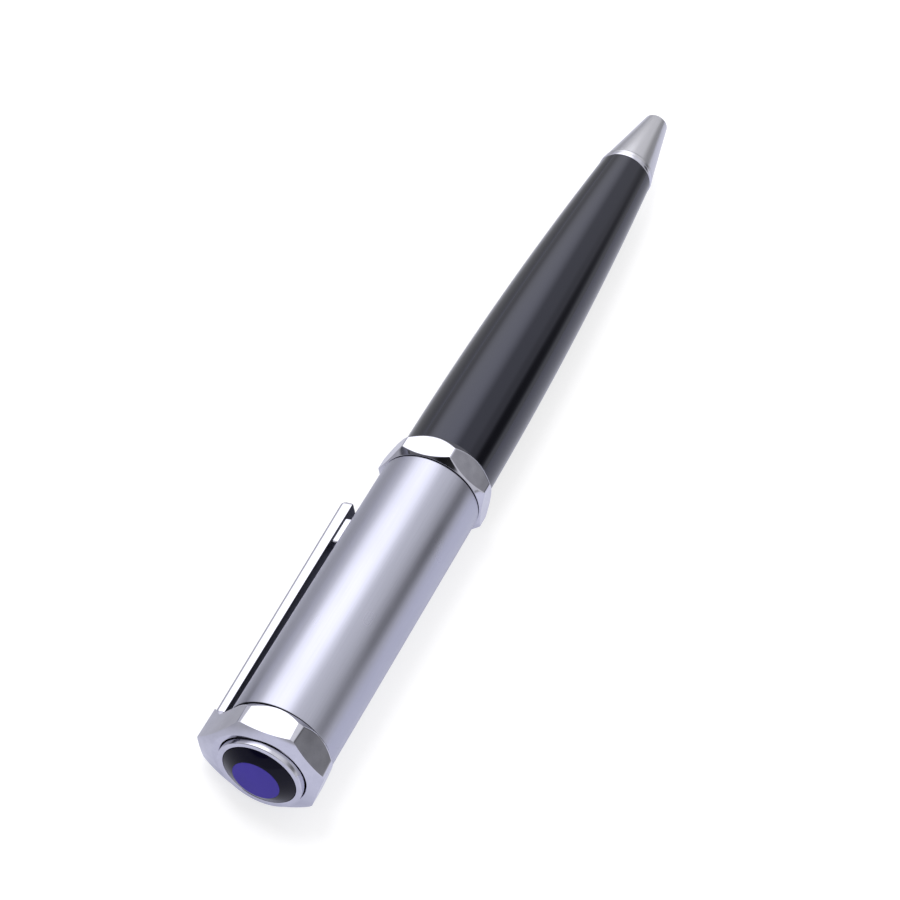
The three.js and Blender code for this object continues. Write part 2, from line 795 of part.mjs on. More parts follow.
// Refill: metal tube with a necked front, plastic rear plug, nozzle and writing ball.
const nozzleRear = ballCentre + ballRadius - nozzleLength;
const refillPlugFront = refillRear + refillPlugLength;

function refillTubeGeometry() {
  const neck = refillNeckRadius;
  const bore = refillRadius - refillWall;
  const end = refillShoulder - refillChamfer;
  return turned([
    [refillRear + refillPlugStep, bore], [refillRear + refillPlugStep, refillRadius],
    [end, refillRadius], [refillShoulder, refillRadius - refillChamfer],
    [refillShoulder, neck + refillNeckFillet], [nozzleRear - refillChamfer, neck],
    [nozzleRear, neck - refillNeckFillet], [nozzleRear, 0],
    [end - refillWall, 0], [end - refillWall, bore - refillChamfer], [end - refillChamfer, bore],
  ], middleSides);
}

// Rear plug with a crown of notches.
function refillPlugGeometry() {
  const inside = refillRadius - refillWall - fitClearance;
  const shoulder = refillRear + refillPlugStep - fitClearance;
  const body = toSolid(turned([
    [refillRear, 0], [refillRear, refillRadius - refillChamfer], [refillRear + refillChamfer, refillRadius],
    [shoulder, refillRadius], [shoulder, inside], [refillPlugFront, inside], [refillPlugFront, 0],
  ], middleSides));
  const notch = block(refillRear - axisCut, refillRear + refillNotchDepth,
    -refillRadius - 1, refillRadius + 1, -refillNotchWidth / 2, refillNotchWidth / 2);
  let plug = body;
  for (let i = 0; i < refillNotches; i += 1) {
    plug = plug.subtract(toSolid(notch.clone().rotateX(i * Math.PI / refillNotches)));
  }
  return toGeometry(plug);
}

function nozzleGeometry() {
  const socketEdge = ballCentre + ballRadius - ballProud;
  const socket = ballRadius + ballClearance;
  const mouth = Math.sqrt(socket ** 2 - (socketEdge - ballCentre) ** 2);
  const socketArc = arc(ballCentre, 0, socket, 90, 180, socketSteps).slice(0, -1);
  return turned([
    [nozzleRear, 0], [nozzleRear, nozzleRadius],
    [ballCentre + ballRadius - nozzleTaper, nozzleRadius], [socketEdge, mouth + nozzleLip],
    [socketEdge, mouth], ...socketArc, [ballCentre - socket, 0],
  ], smallSides);
}

function ballGeometry() {
  const geometry = new THREE.SphereGeometry(ballRadius, ballSides, ballSides / 2);
  geometry.translate(ballCentre, 0, 0);
  return weld(geometry);
}

const finishes = {
  polishedSteel: { color: '#d9d9df', roughness: 0.12, metalness: 1 },
  satinSteel: { color: '#c4c6d2', roughness: 0.34, metalness: 1 },
  blackLacquer: { color: '#0b0b0e', roughness: 0.08, metalness: 0 },
  blueStone: { color: '#3a2f96', roughness: 0.05, metalness: 0 },
  brass: { color: '#b89a55', roughness: 0.3, metalness: 1 },
  springSteel: { color: '#a9abb0', roughness: 0.3, metalness: 1 },
  blackRubber: { color: '#161616', roughness: 0.8, metalness: 0 },
  blackAcetal: { color: '#1b1b1d', roughness: 0.5, metalness: 0 },
  whiteAcetal: { color: '#d8d6cf', roughness: 0.5, metalness: 0 },
  carbide: { color: '#8f9196', roughness: 0.15, metalness: 1 },
};

function piece(name, geometry, finish) {
  const mesh = new THREE.Mesh(geometry, new THREE.MeshStandardMaterial(finishes[finish]));
  mesh.name = name;
  return mesh;
}

function headGroup() {
  const group = new THREE.Group();
  group.add(
    piece('head', headGeometry(), 'polishedSteel'),
    piece('bezel', bezelGeometry(), 'polishedSteel'),
    piece('stone', stoneGeometry(), 'blueStone'),
    piece('head_screw', screwGeometry(), 'springSteel'),
    piece('cap_plug', plugGeometry(), 'brass'),
    piece('cap_tube', capGeometry(), 'satinSteel'),
  );
  return group;
}

// The clip's pieces are drawn standing up and the group turns them to the clip's side.
function clipGroup() {
  const group = new THREE.Group();
  group.rotation.x = (clipAngle - 90) * degree;
  group.add(
    piece('clip', clipGeometry(), 'polishedSteel'),
    piece('clip_pin', clipPinGeometry(), 'springSteel'),
    piece('clip_leaf_spring', clipLeafGeometry(), 'springSteel'),
  );
  return group;
}

function mechanismGroup() {
  const group = new THREE.Group();
  group.add(
    piece('drive_sleeve', sleeveGeometry(), 'brass'),
    piece('guide_tube', guideGeometry(), 'brass'),
    piece('plunger', plungerGeometry(), 'whiteAcetal'),
    piece('drive_pin', crossPinGeometry(), 'springSteel'),
    piece('retaining_ring', circlipGeometry(), 'springSteel'),
    piece('hub', hubGeometry(), 'brass'),
    piece('o_ring', oRingGeometry(), 'blackRubber'),
    piece('glide_washer', glideWasherGeometry(), 'blackAcetal'),
    piece('centre_ring', ringGeometry(), 'polishedSteel'),
  );
  return group;
}

function barrelGroup() {
  const group = new THREE.Group();
  const spring = springGeometry();
  console.log('least gap between the turns of the return spring, mm:', springGap(spring).toFixed(2));
  group.add(
    piece('barrel', barrelGeometry(), 'blackLacquer'),
    piece('barrel_insert', insertGeometry(), 'brass'),
    piece('nose_trim_ring', trimGeometry(), 'polishedSteel'),
    piece('nose_cone', noseGeometry(), 'satinSteel'),
    piece('return_spring', spring, 'springSteel'),
  );
  return group;
}

function refillGroup() {
  const group = new THREE.Group();
  group.add(
    piece('refill_tube', refillTubeGeometry(), 'satinSteel'),
    piece('refill_plug', refillPlugGeometry(), 'blackAcetal'),
    piece('refill_nozzle', nozzleGeometry(), 'brass'),
    piece('writing_ball', ballGeometry(), 'carbide'),
  );
  return group;
}

const pen = new THREE.Group();
pen.position.z = ringApothem;
pen.add(headGroup(), clipGroup(), mechanismGroup(), barrelGroup(), refillGroup());

export default pen;
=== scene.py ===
import math
import bmesh
import bpy
import numpy as np
from mathutils import Matrix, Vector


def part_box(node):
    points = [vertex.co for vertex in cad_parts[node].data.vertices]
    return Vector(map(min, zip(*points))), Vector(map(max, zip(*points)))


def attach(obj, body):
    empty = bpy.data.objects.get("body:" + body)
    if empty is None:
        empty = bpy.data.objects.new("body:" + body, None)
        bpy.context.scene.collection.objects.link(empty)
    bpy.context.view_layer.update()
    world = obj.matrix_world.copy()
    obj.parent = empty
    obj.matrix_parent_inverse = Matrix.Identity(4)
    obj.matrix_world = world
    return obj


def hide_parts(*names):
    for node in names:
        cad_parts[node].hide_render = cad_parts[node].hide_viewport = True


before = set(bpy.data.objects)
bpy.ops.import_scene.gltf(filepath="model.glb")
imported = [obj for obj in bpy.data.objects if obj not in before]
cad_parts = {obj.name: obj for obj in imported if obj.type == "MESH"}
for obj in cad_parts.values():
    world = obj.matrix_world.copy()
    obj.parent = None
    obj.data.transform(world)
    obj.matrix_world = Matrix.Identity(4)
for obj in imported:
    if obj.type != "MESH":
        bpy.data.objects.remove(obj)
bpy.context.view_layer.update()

mm = 0.001
axisHeight = 6.92          # the pen's axis above the ring's lowest flat, in mm
facetCount = 7             # sides of the ring and of the head
facetTurn = 360.0 / facetCount
ringAngle = -90.0          # angles round the axis are in degrees, from +Y towards +Z
headParked = 11.2          # how far the head stands turned from the ring
clipAngle = ringAngle + facetTurn + headParked
weld = 2e-7                # in metres: points of a grid nearer than this become one
tiny = 1e-9                # keeps a length of nothing out of a division


# Mesh helpers. Lengths are in mm along the pen (x) and out from its axis (r).

def signedVolume(co, tris):
    a, b, c = co[tris[:, 0]], co[tris[:, 1]], co[tris[:, 2]]
    return float(np.einsum("ij,ij->i", a, np.cross(b, c)).sum() / 6)


# A grid of points, rows x columns x 3, becomes quads between neighbours. Columns wrap round,
# rows wrap if asked, and quads marked in skip are left out. Equal points are merged, which
# closes poles and seams.
def gridMesh(name, points, wrapRows=True, sharp=32.0, skip=None):
    rows, cols = points.shape[:2]
    co = points.reshape(-1, 3) * mm
    i, j = np.meshgrid(np.arange(rows if wrapRows else rows - 1), np.arange(cols), indexing="ij")
    below, beside = (i + 1) % rows, (j + 1) % cols
    quads = np.stack([i * cols + j, i * cols + beside, below * cols + beside, below * cols + j], axis=-1)
    quads = quads.reshape(-1, 4) if skip is None else quads[~skip[:len(i)]]
    tris = np.concatenate([quads[:, [0, 1, 2]], quads[:, [0, 2, 3]]])
    if signedVolume(co - co.mean(0), tris) < 0:
        quads = quads[:, ::-1]
    mesh = bpy.data.meshes.new(name)
    mesh.vertices.add(len(co))
    mesh.vertices.foreach_set("co", co.astype(np.float32).ravel())
    mesh.loops.add(quads.size)
    mesh.loops.foreach_set("vertex_index", quads.astype(np.int32).ravel())
    mesh.polygons.add(len(quads))
    mesh.polygons.foreach_set("loop_start", np.arange(0, quads.size, 4, dtype=np.int32))
    mesh.update(calc_edges=True)
    mesh.validate()
    bm = bmesh.new()
    bm.from_mesh(mesh)
    bmesh.ops.remove_doubles(bm, verts=bm.verts, dist=weld)
    bmesh.ops.dissolve_degenerate(bm, edges=bm.edges, dist=weld / 2)
    bm.to_mesh(mesh)
    bm.free()
    mesh.shade_smooth()
    mesh.set_sharp_from_angle(angle=math.radians(sharp))
    piece = bpy.data.objects.new(name, mesh)
    bpy.context.scene.collection.objects.link(piece)
    return piece


# Corners of a closed profile, rows of (x, r, cut): each corner becomes a short curve that starts
# and ends cut mm away from it, (1 - t)^2 start + 2 t (1 - t) corner + t^2 end for t from 0 to 1.
def softProfile(rows, steps=6):
    largestCut = 0.48      # of the shorter side, so that the cuts of two corners never meet
    table = np.array(rows, float)
    corner, cut = table[:, :2], table[:, 2]
    before, after = np.roll(corner, 1, 0) - corner, np.roll(corner, -1, 0) - corner
    lenBefore = np.maximum(np.linalg.norm(before, axis=1), tiny)
    lenAfter = np.maximum(np.linalg.norm(after, axis=1), tiny)
    cut = np.minimum(cut, largestCut * np.minimum(lenBefore, lenAfter))
    start = corner + before * (cut / lenBefore)[:, None]
    end = corner + after * (cut / lenAfter)[:, None]
    t = np.linspace(0, 1, steps)[None, :, None]
    curve = (1 - t) ** 2 * start[:, None] + 2 * t * (1 - t) * corner[:, None] + t ** 2 * end[:, None]
    return curve.reshape(-1, 2)


# Adds points along a closed profile so that none lie further apart than step mm.
def dense(profile, step):
    samePoint = 1e-7
    closed = np.vstack([profile, profile[:1]])
    run = np.concatenate([[0], np.cumsum(np.linalg.norm(np.diff(closed, axis=0), axis=1))])
    keep = np.concatenate([[True], np.diff(run) > samePoint])
    run, closed = run[keep], closed[keep]
    at = np.union1d(run, np.arange(0, run[-1], step))
    line = np.stack([np.interp(at, run, closed[:, 0]), np.interp(at, run, closed[:, 1])], axis=1)
    return line[:-1]


# Points at (x, r cos a, r sin a) about the pen's axis.
def aroundAxis(x, r, angle):
    return np.stack([x, r * np.cos(angle), r * np.sin(angle) + axisHeight], axis=-1)


# How far points lie from the pen's axis: sqrt(y^2 + z^2), z measured from the axis.
def axisDistance(points):
    return np.hypot(points[:, 1], points[:, 2] - axisHeight)


# Gives a piece its finish, its body, the CAD node that it stands in for and its material slot.
def place(piece, body, finish, node):
    piece.data.materials.clear()
    piece.data.materials.append(finish)
    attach(piece, body)
    if node:
        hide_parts(node)
    return piece


# A plain tube's profile, with the cuts of its inner and of its outer corners.
def tubeRows(rear, front, bore, outer, boreCut, outerCut):
    return [(rear, bore, boreCut), (rear, outer, outerCut),
            (front, outer, outerCut), (front, bore, boreCut)]


# A profile turned about the pen's axis: the points (x, r cos a, r sin a) for a from 0 to 2 pi. The
# rows are those that softProfile takes.
def turnedPiece(name, rows, body, finish, node, sides=256, steps=6, sharp=32.0):
    profile = softProfile(rows, steps)
    angle = np.arange(sides) * 2 * np.pi / sides
    x, turn = np.meshgrid(profile[:, 0], angle, indexing="ij")
    r = np.repeat(profile[:, 1:2], sides, axis=1)
    return place(gridMesh(name, aroundAxis(x, r, turn), sharp=sharp), body, finish, node)


# Paints shade onto the faces that choose picks, from their centres in mm and their normals: a dull dark
# steel that stands in for the shade in grooves and gaps.
def paintShadeOnFaces(piece, choose):
    piece.data.materials.append(inner["paintedShadeSteel"])
    polygons = piece.data.polygons
    centres = np.empty(len(polygons) * 3, np.float32)
    normals = np.empty(len(polygons) * 3, np.float32)
    polygons.foreach_get("center", centres)
    polygons.foreach_get("normal", normals)
    chosen = choose(centres.reshape(-1, 3) / mm, normals.reshape(-1, 3))
    polygons.foreach_set("material_index", chosen.astype(np.int32))


# Materials.

noiseLow, noiseHigh = 0.3, 0.7     # most of a noise's values lie between these


# An sRGB hex colour made linear: v / 12.92 up to 0.04045, ((v + 0.055) / 1.055)^2.4 above it.
def linear(code):
    value = np.array([int(code[k:k + 2], 16) for k in (1, 3, 5)]) / 255.0
    out = np.where(value <= 0.04045, value / 12.92, ((value + 0.055) / 1.055) ** 2.4)
    return (*out.tolist(), 1.0)


# Adds one node: inputs are values or sockets by name or number, settings are its properties.
def addNode(tree, kind, inputs=None, **settings):
    node = tree.nodes.new(kind)
    for key, value in settings.items():
        setattr(node, key, value)
    for key, value in (inputs or {}).items():
        if isinstance(value, bpy.types.NodeSocket):
            tree.links.new(value, node.inputs[key])
        else:
            node.inputs[key].default_value = value
    return node


def newMaterial(name):
    material = bpy.data.materials.new(name)
    material.use_nodes = True
    material.node_tree.nodes.clear()
    return material, material.node_tree


def finishMaterial(material, shader):
    addNode(material.node_tree, "ShaderNodeOutputMaterial", {"Surface": shader.outputs[0]})
    return material


# The point's place along the pen and its angle round it as an arc length, both in metres, so
# that a brushed grain can run along the tube.
def penCoords(tree, radius):
    coords = addNode(tree, "ShaderNodeTexCoord")
    parts = addNode(tree, "ShaderNodeSeparateXYZ", {0: coords.outputs["Object"]})
    height = addNode(tree, "ShaderNodeMath", {0: parts.outputs["Z"], 1: axisHeight * mm},
                     operation="SUBTRACT")
    turn = addNode(tree, "ShaderNodeMath", {0: height.outputs[0], 1: parts.outputs["Y"]},
                   operation="ARCTAN2")
    arcLength = addNode(tree, "ShaderNodeMath", {0: turn.outputs[0], 1: radius * mm},
                        operation="MULTIPLY")
    return addNode(tree, "ShaderNodeCombineXYZ", {"X": parts.outputs["X"], "Y": arcLength.outputs[0]})


# Satin stainless steel, drawn through a fine abrasive: soft lengthwise streaks, a cool cast. The
# nose is brighter and finer than the cap.
satinSteelSettings = {
    "satinCapSteel": {"colour": "#b6b7c6", "darkColour": "#a9aaba", "roughness": 0.27,
                      "grainMm": 0.16, "grainStretch": 60.0},
    "satinNoseSteel": {"colour": "#c5c5cc", "darkColour": "#b9b9c1", "roughness": 0.2,
                       "grainMm": 0.12, "grainStretch": 30.0},
}
satinShared = {"roughSpread": 0.05, "cloudPerMetre": 90.0, "bump": 0.06, "bumpMm": 0.01, "arcRadius": 6.75}


def satinSteel(name):
    material, tree = newMaterial(name)
    s = {**satinShared, **satinSteelSettings[name]}
    coords = penCoords(tree, s["arcRadius"])
    perMetre = 1.0 / (s["grainMm"] * mm)
    # grainMm across the tube and grainStretch times longer along it; the real grit is finer
    grainMap = addNode(tree, "ShaderNodeMapping", {
        "Vector": coords.outputs[0], "Scale": (perMetre / s["grainStretch"], perMetre, 1.0)})
    grain = addNode(tree, "ShaderNodeTexNoise", {
        "Vector": grainMap.outputs[0], "Scale": 1.0, "Detail": 3.0, "Roughness": 0.6})
    cloud = addNode(tree, "ShaderNodeTexNoise", {
        "Vector": coords.outputs[0], "Scale": s["cloudPerMetre"], "Detail": 2.0, "Roughness": 0.5})
    tone = addNode(tree, "ShaderNodeMix", {
        0: grain.outputs["Fac"], 6: linear(s["darkColour"]), 7: linear(s["colour"])}, data_type="RGBA")
    rough = addNode(tree, "ShaderNodeMapRange", {
        "Value": cloud.outputs["Fac"], "From Min": noiseLow, "From Max": noiseHigh,
        "To Min": s["roughness"], "To Max": s["roughness"] + s["roughSpread"]})
    bump = addNode(tree, "ShaderNodeBump", {
        "Strength": s["bump"], "Distance": s["bumpMm"] * mm, "Height": grain.outputs["Fac"]})
    shader = addNode(tree, "ShaderNodeBsdfPrincipled", {
        "Base Color": tone.outputs[2], "Metallic": 1.0, "Roughness": rough.outputs[0],
        "Normal": bump.outputs[0]})
    return finishMaterial(material, shader)


# Mirror-polished steel: near-sharp reflections, a faint haze left by buffing and a cool cast.
polishedSteelSettings = {
    "colour": "#cfcfdb", "hazeColour": "#b9b9c7", "roughness": 0.04, "roughSpread": 0.08,
    "hazeMm": 1.3, "hazeRange": (0.1, 0.5), "scratchMm": 0.12, "waveMm": 3.4, "wave": 0.03,
}


def polishedSteel():
    material, tree = newMaterial("polishedSteel")
    s = polishedSteelSettings
    coords = addNode(tree, "ShaderNodeTexCoord")
    haze = addNode(tree, "ShaderNodeTexNoise", {
        "Vector": coords.outputs["Object"], "Scale": 1.0 / (s["hazeMm"] * mm), "Detail": 3.0,
        "Roughness": 0.6})
    buff = addNode(tree, "ShaderNodeTexNoise", {
        "Vector": coords.outputs["Object"], "Scale": 1.0 / (s["scratchMm"] * mm), "Detail": 2.0})
    tone = addNode(tree, "ShaderNodeMix", {
        0: haze.outputs["Fac"], 6: linear(s["hazeColour"]), 7: linear(s["colour"])}, data_type="RGBA")
    mixRough = addNode(tree, "ShaderNodeMath", {
        0: haze.outputs["Fac"], 1: buff.outputs["Fac"]}, operation="MULTIPLY")
    rough = addNode(tree, "ShaderNodeMapRange", {
        "Value": mixRough.outputs[0], "From Min": s["hazeRange"][0], "From Max": s["hazeRange"][1],
        "To Min": s["roughness"], "To Max": s["roughness"] + s["roughSpread"]})
    # hand polishing leaves the flats very slightly wavy
    wave = addNode(tree, "ShaderNodeTexNoise", {
        "Vector": coords.outputs["Object"], "Scale": 1.0 / (s["waveMm"] * mm), "Detail": 1.0})
    bump = addNode(tree, "ShaderNodeBump", {
        "Strength": 1.0, "Distance": s["wave"] * mm, "Height": wave.outputs["Fac"]})
    shader = addNode(tree, "ShaderNodeBsdfPrincipled", {
        "Base Color": tone.outputs[2], "Metallic": 1.0, "Roughness": rough.outputs[0],
        "Normal": bump.outputs[0]})
    return finishMaterial(material, shader)


# Black resin, polished: deep black under a clear gloss, with a trace of polishing haze.
blackResinSettings = {
    "colour": "#0b0b11", "deep": "#06060a", "roughness": 0.05, "roughSpread": 0.04, "hazeMm": 3.0,
    "ior": 1.56, "tint": "#dfe2ff",
}


def blackResin():
    material, tree = newMaterial("polishedBlackResin")
    s = blackResinSettings
    coords = addNode(tree, "ShaderNodeTexCoord")
    haze = addNode(tree, "ShaderNodeTexNoise", {
        "Vector": coords.outputs["Object"], "Scale": 1.0 / (s["hazeMm"] * mm), "Detail": 4.0})
    tone = addNode(tree, "ShaderNodeMix", {
        0: haze.outputs["Fac"], 6: linear(s["deep"]), 7: linear(s["colour"])}, data_type="RGBA")
    rough = addNode(tree, "ShaderNodeMapRange", {
        "Value": haze.outputs["Fac"], "From Min": noiseLow, "From Max": noiseHigh,
        "To Min": s["roughness"], "To Max": s["roughness"] + s["roughSpread"]})
    shader = addNode(tree, "ShaderNodeBsdfPrincipled", {
        "Base Color": tone.outputs[2], "Metallic": 0.0, "Roughness": rough.outputs[0], "IOR": s["ior"],
        "Specular Tint": linear(s["tint"])})
    return finishMaterial(material, shader)


# Blue-violet glass stone: the flat table has the glass's own blue-violet, and the bevel round it is
# painted near black, painted shade of the same glass.
stoneSettings = {
    "table": "#4c38c9", "tableDeep": "#4230b5", "paintedShadeBevel": "#0a0920", "tableRadius": 3.05,
    "edgeMm": 0.05, "cloudPerMetre": 260.0, "roughness": 0.03, "ior": 1.55, "level": 0.12,
}


def stoneGlass():
    material, tree = newMaterial("polishedBlueStone")
    s = stoneSettings
    coords = addNode(tree, "ShaderNodeTexCoord")
    centred = addNode(tree, "ShaderNodeMapping", {
        "Vector": coords.outputs["Object"], "Location": (0.0, 0.0, -axisHeight * mm),
        "Scale": (0.0, 1.0, 1.0)})
    radius = addNode(tree, "ShaderNodeVectorMath", {0: centred.outputs[0]}, operation="LENGTH")
    edge = addNode(tree, "ShaderNodeMapRange", {
        "Value": radius.outputs["Value"], "From Min": (s["tableRadius"] - s["edgeMm"]) * mm,
        "From Max": (s["tableRadius"] + s["edgeMm"]) * mm}, interpolation_type="SMOOTHSTEP")
    cloud = addNode(tree, "ShaderNodeTexNoise", {
        "Vector": coords.outputs["Object"], "Scale": s["cloudPerMetre"], "Detail": 3.0})
    table = addNode(tree, "ShaderNodeMix", {
        0: cloud.outputs["Fac"], 6: linear(s["tableDeep"]), 7: linear(s["table"])}, data_type="RGBA")
    tone = addNode(tree, "ShaderNodeMix", {
        0: edge.outputs[0], 6: table.outputs[2], 7: linear(s["paintedShadeBevel"])}, data_type="RGBA")
    shader = addNode(tree, "ShaderNodeBsdfPrincipled", {
        "Base Color": tone.outputs[2], "Roughness": s["roughness"], "IOR": s["ior"],
        "Specular IOR Level": s["level"]})
    return finishMaterial(material, shader)


# One maker for the plain inner metals and plastics: a base colour broken by fine turning marks.
innerSettings = {
    "turnedBrass": {"colour": "#b99b5e", "dark": "#a5874d", "metal": 1.0, "rough": 0.28, "lineMm": 0.12},
    "drawnSteel": {"colour": "#b4b5ba", "dark": "#9c9da3", "metal": 1.0, "rough": 0.25, "lineMm": 0.10},
    # paintedShadeSteel belongs to no part: its dark grey is painted shade for grooves and gaps
    "paintedShadeSteel": {"colour": "#55565d", "dark": "#44454b", "metal": 1.0, "rough": 0.42, "lineMm": 0.30},
    "blackAcetal": {"colour": "#17171a", "dark": "#101012", "metal": 0.0, "rough": 0.42, "lineMm": 0.20},
    "whiteAcetal": {"colour": "#dedbd2", "dark": "#d2cfc6", "metal": 0.0, "rough": 0.42, "lineMm": 0.20},
    "blackRubber": {"colour": "#151515", "dark": "#0e0e0e", "metal": 0.0, "rough": 0.75, "lineMm": 0.25},
    "groundCarbide": {"colour": "#8e9096", "dark": "#84868c", "metal": 1.0, "rough": 0.12, "lineMm": 0.05},
}
innerShared = {"acrossPerMetre": 60.0, "roughLess": 0.04, "roughMore": 0.08, "bump": 0.15, "bumpMm": 0.01}


def innerMaterial(name):
    s = {**innerShared, **innerSettings[name]}
    material, tree = newMaterial(name)
    coords = addNode(tree, "ShaderNodeTexCoord")
    across = s["acrossPerMetre"]
    turnMap = addNode(tree, "ShaderNodeMapping", {
        "Vector": coords.outputs["Object"], "Scale": (1.0 / (s["lineMm"] * mm), across, across)})
    lines = addNode(tree, "ShaderNodeTexNoise", {
        "Vector": turnMap.outputs[0], "Scale": 1.0, "Detail": 3.0, "Roughness": 0.65})
    tone = addNode(tree, "ShaderNodeMix", {
        0: lines.outputs["Fac"], 6: linear(s["dark"]), 7: linear(s["colour"])}, data_type="RGBA")
    rough = addNode(tree, "ShaderNodeMapRange", {
        "Value": lines.outputs["Fac"], "To Min": s["rough"] - s["roughLess"],
        "To Max": s["rough"] + s["roughMore"]})
    bump = addNode(tree, "ShaderNodeBump", {
        "Strength": s["bump"], "Distance": s["bumpMm"] * mm, "Height": lines.outputs["Fac"]})
    shader = addNode(tree, "ShaderNodeBsdfPrincipled", {
        "Base Color": tone.outputs[2], "Metallic": s["metal"], "Roughness": rough.outputs[0],
        "Normal": bump.outputs[0]})
    return finishMaterial(material, shader)


steelSatin = satinSteel("satinCapSteel")
steelNose = satinSteel("satinNoseSteel")
steelPolished = polishedSteel()
resinBlack = blackResin()
stoneBlue = stoneGlass()
inner = {name: innerMaterial(name) for name in innerSettings}
print("materials made:", len(bpy.data.materials))


# Turned pieces of the cap half.

# A node's two ends along the pen, in mm.
def span(node):
    low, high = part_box(node)
    return low[0] / mm, high[0] / mm


capRear, capFront = span("cap_tube")
ringRear, ringFront = span("centre_ring")
barrelFront, noseTip = span("barrel")[1], span("nose_cone")[1]
headLength = 4.55          # from the head's flat face to the cap tube's rear end
headFront = capRear - headLength

cap = {"radius": 6.75, "bore": 5.85, "edge": 0.12, "shadedEndTilt": -0.7, "shadedEndDepth": 0.05}
capRows = tubeRows(capRear, capFront, cap["bore"], cap["radius"], 0.0, cap["edge"])
capTube = turnedPiece("capTube", capRows, "cap", steelSatin, "cap_tube")
# painted shade: the end that faces the head's groove gets dark steel, where the groove's shadow falls
paintShadeOnFaces(capTube, lambda centre, normal: (
    (normal[:, 0] < cap["shadedEndTilt"]) & (centre[:, 0] < capRear + cap["shadedEndDepth"])))

bezel = {"radius": 5.48, "rim": 0.76, "seat": 4.75, "depth": 1.5, "floor": 0.84,
         "outerRound": 0.13, "innerRound": 0.15, "backRound": 0.1, "floorRound": 0.02}
bezelRim, bezelFloor = headFront - bezel["rim"], headFront + bezel["floor"]
bezelBack = headFront + bezel["depth"]
turnedPiece("bezelCup", [
    (bezelBack, 0.0, 0.0), (bezelBack, bezel["radius"], bezel["backRound"]),
    (bezelRim, bezel["radius"], bezel["outerRound"]), (bezelRim, bezel["seat"], bezel["innerRound"]),
    (bezelFloor, bezel["seat"], bezel["floorRound"]), (bezelFloor, 0.0, 0.0),
], "cap", steelPolished, "bezel", steps=16)

# the stone's widest edge lies level with the bezel's rim, its crown stands in front of it
stone = {"radius": 4.7, "table": 3.05, "crown": 0.83, "girdle": 0.53, "depth": 1.55,
         "tableRound": 0.07, "edgeRound": 0.05}
stoneTable, stoneGirdle = bezelRim - stone["crown"], bezelRim + stone["girdle"]
stoneBack = bezelRim + stone["depth"]
turnedPiece("blueStone", [
    (stoneTable, 0.0, 0.0), (stoneTable, stone["table"], stone["tableRound"]),
    (bezelRim, stone["radius"], stone["edgeRound"]), (stoneGirdle, stone["radius"], stone["edgeRound"]),
    (stoneBack, stone["table"], stone["edgeRound"]), (stoneBack, 0.0, 0.0),
], "cap", stoneBlue, "stone", sharp=50.0)
print("cap tube, bezel and stone made")


# Seven-sided pieces.

# Where two neighbouring facets meet, each at its own distance from the axis.
def facetCorner(apothem, nextApothem, angle):
    a, b = math.radians(angle), math.radians(angle + facetTurn)
    det = math.sin(b - a)
    return np.array([(apothem * math.sin(b) - nextApothem * math.sin(a)) / det,
                     (nextApothem * math.cos(a) - apothem * math.cos(b)) / det])


# Distance from the axis to the outline at each angle. Along a facet it is a / cos(angle from the
# facet's normal). On a ridge, an arc round c with radius k, it is c.u + sqrt(k^2 - (c x u)^2),
# where u is the direction.
def facetRadius(angle, apothems, ridges, firstAngle):
    leastCosine, farAway = 0.2, 99.0       # facets turned further away than this don't count
    normals = np.radians(firstAngle + np.arange(facetCount) * facetTurn)
    cosine = np.cos(angle[:, None] - normals[None])
    flat = np.array(apothems)[None] / np.maximum(cosine, leastCosine)
    reach = np.where(cosine > leastCosine, flat, farAway).min(axis=1)
    for i, k in enumerate(ridges):
        other = (i + 1) % facetCount
        centre = facetCorner(apothems[i] - k, apothems[other] - k, firstAngle + i * facetTurn)
        ends = [centre + k * np.array([math.cos(normals[n]), math.sin(normals[n])]) for n in (i, other)]
        low, high = [math.atan2(end[1], end[0]) for end in ends]
        off = (angle - low) % (2 * np.pi)
        along = centre[0] * np.cos(angle) + centre[1] * np.sin(angle)
        across = centre[0] * np.sin(angle) - centre[1] * np.cos(angle)
        arc = along + np.sqrt(np.maximum(k ** 2 - across ** 2, 0))
        reach = np.where(off <= (high - low) % (2 * np.pi), arc, reach)
    return reach


# The lesser of two distances, rounded where they cross: -s log(exp(-a/s) + exp(-b/s)).
def softMin(a, b, soft):
    low = np.minimum(a, b)
    return low - soft * np.log(np.exp(-(a - low) / soft) + np.exp(-(b - low) / soft))


def ridgeReach(apothem, radius):
    return (apothem - radius) / math.cos(math.radians(facetTurn / 2)) + radius


ring = {"apothem": 6.92, "ridge": 0.3, "rear": 6.75, "collar": 6.6, "rearChamfer": 0.75,
        "frontChamfer": 1.45, "bore": 5.24, "edge": 0.05, "skinFrom": 5.9, "rowGap": 0.09,
        "soft": 0.015, "columns": 1050}


# The ring's skin: at each angle a turned profile, cut off where the facets lie nearer.
def makeRing():
    corner, edge = ridgeReach(ring["apothem"], ring["ridge"]), ring["edge"]
    profile = dense(softProfile([
        (ringRear, ring["bore"], 0.0), (ringRear, ring["rear"], edge),
        (ringRear + ring["rearChamfer"], corner, edge), (ringFront - ring["frontChamfer"], corner, edge),
        (ringFront, ring["collar"], edge), (ringFront, ring["bore"], 0.0),
    ]), ring["rowGap"])
    angle = np.radians(ringAngle) + np.arange(ring["columns"]) * 2 * np.pi / ring["columns"]
    facet = facetRadius(angle, [ring["apothem"]] * facetCount, [ring["ridge"]] * facetCount, ringAngle)
    r = profile[:, 1:2]
    r = np.where(r < ring["skinFrom"], r, softMin(r, facet[None], ring["soft"]))
    x = np.repeat(profile[:, :1], len(angle), axis=1)
    piece = gridMesh("sevenSidedRing", aroundAxis(x, r, angle[None]), sharp=40.0)
    place(piece, "core", steelPolished, "centre_ring")


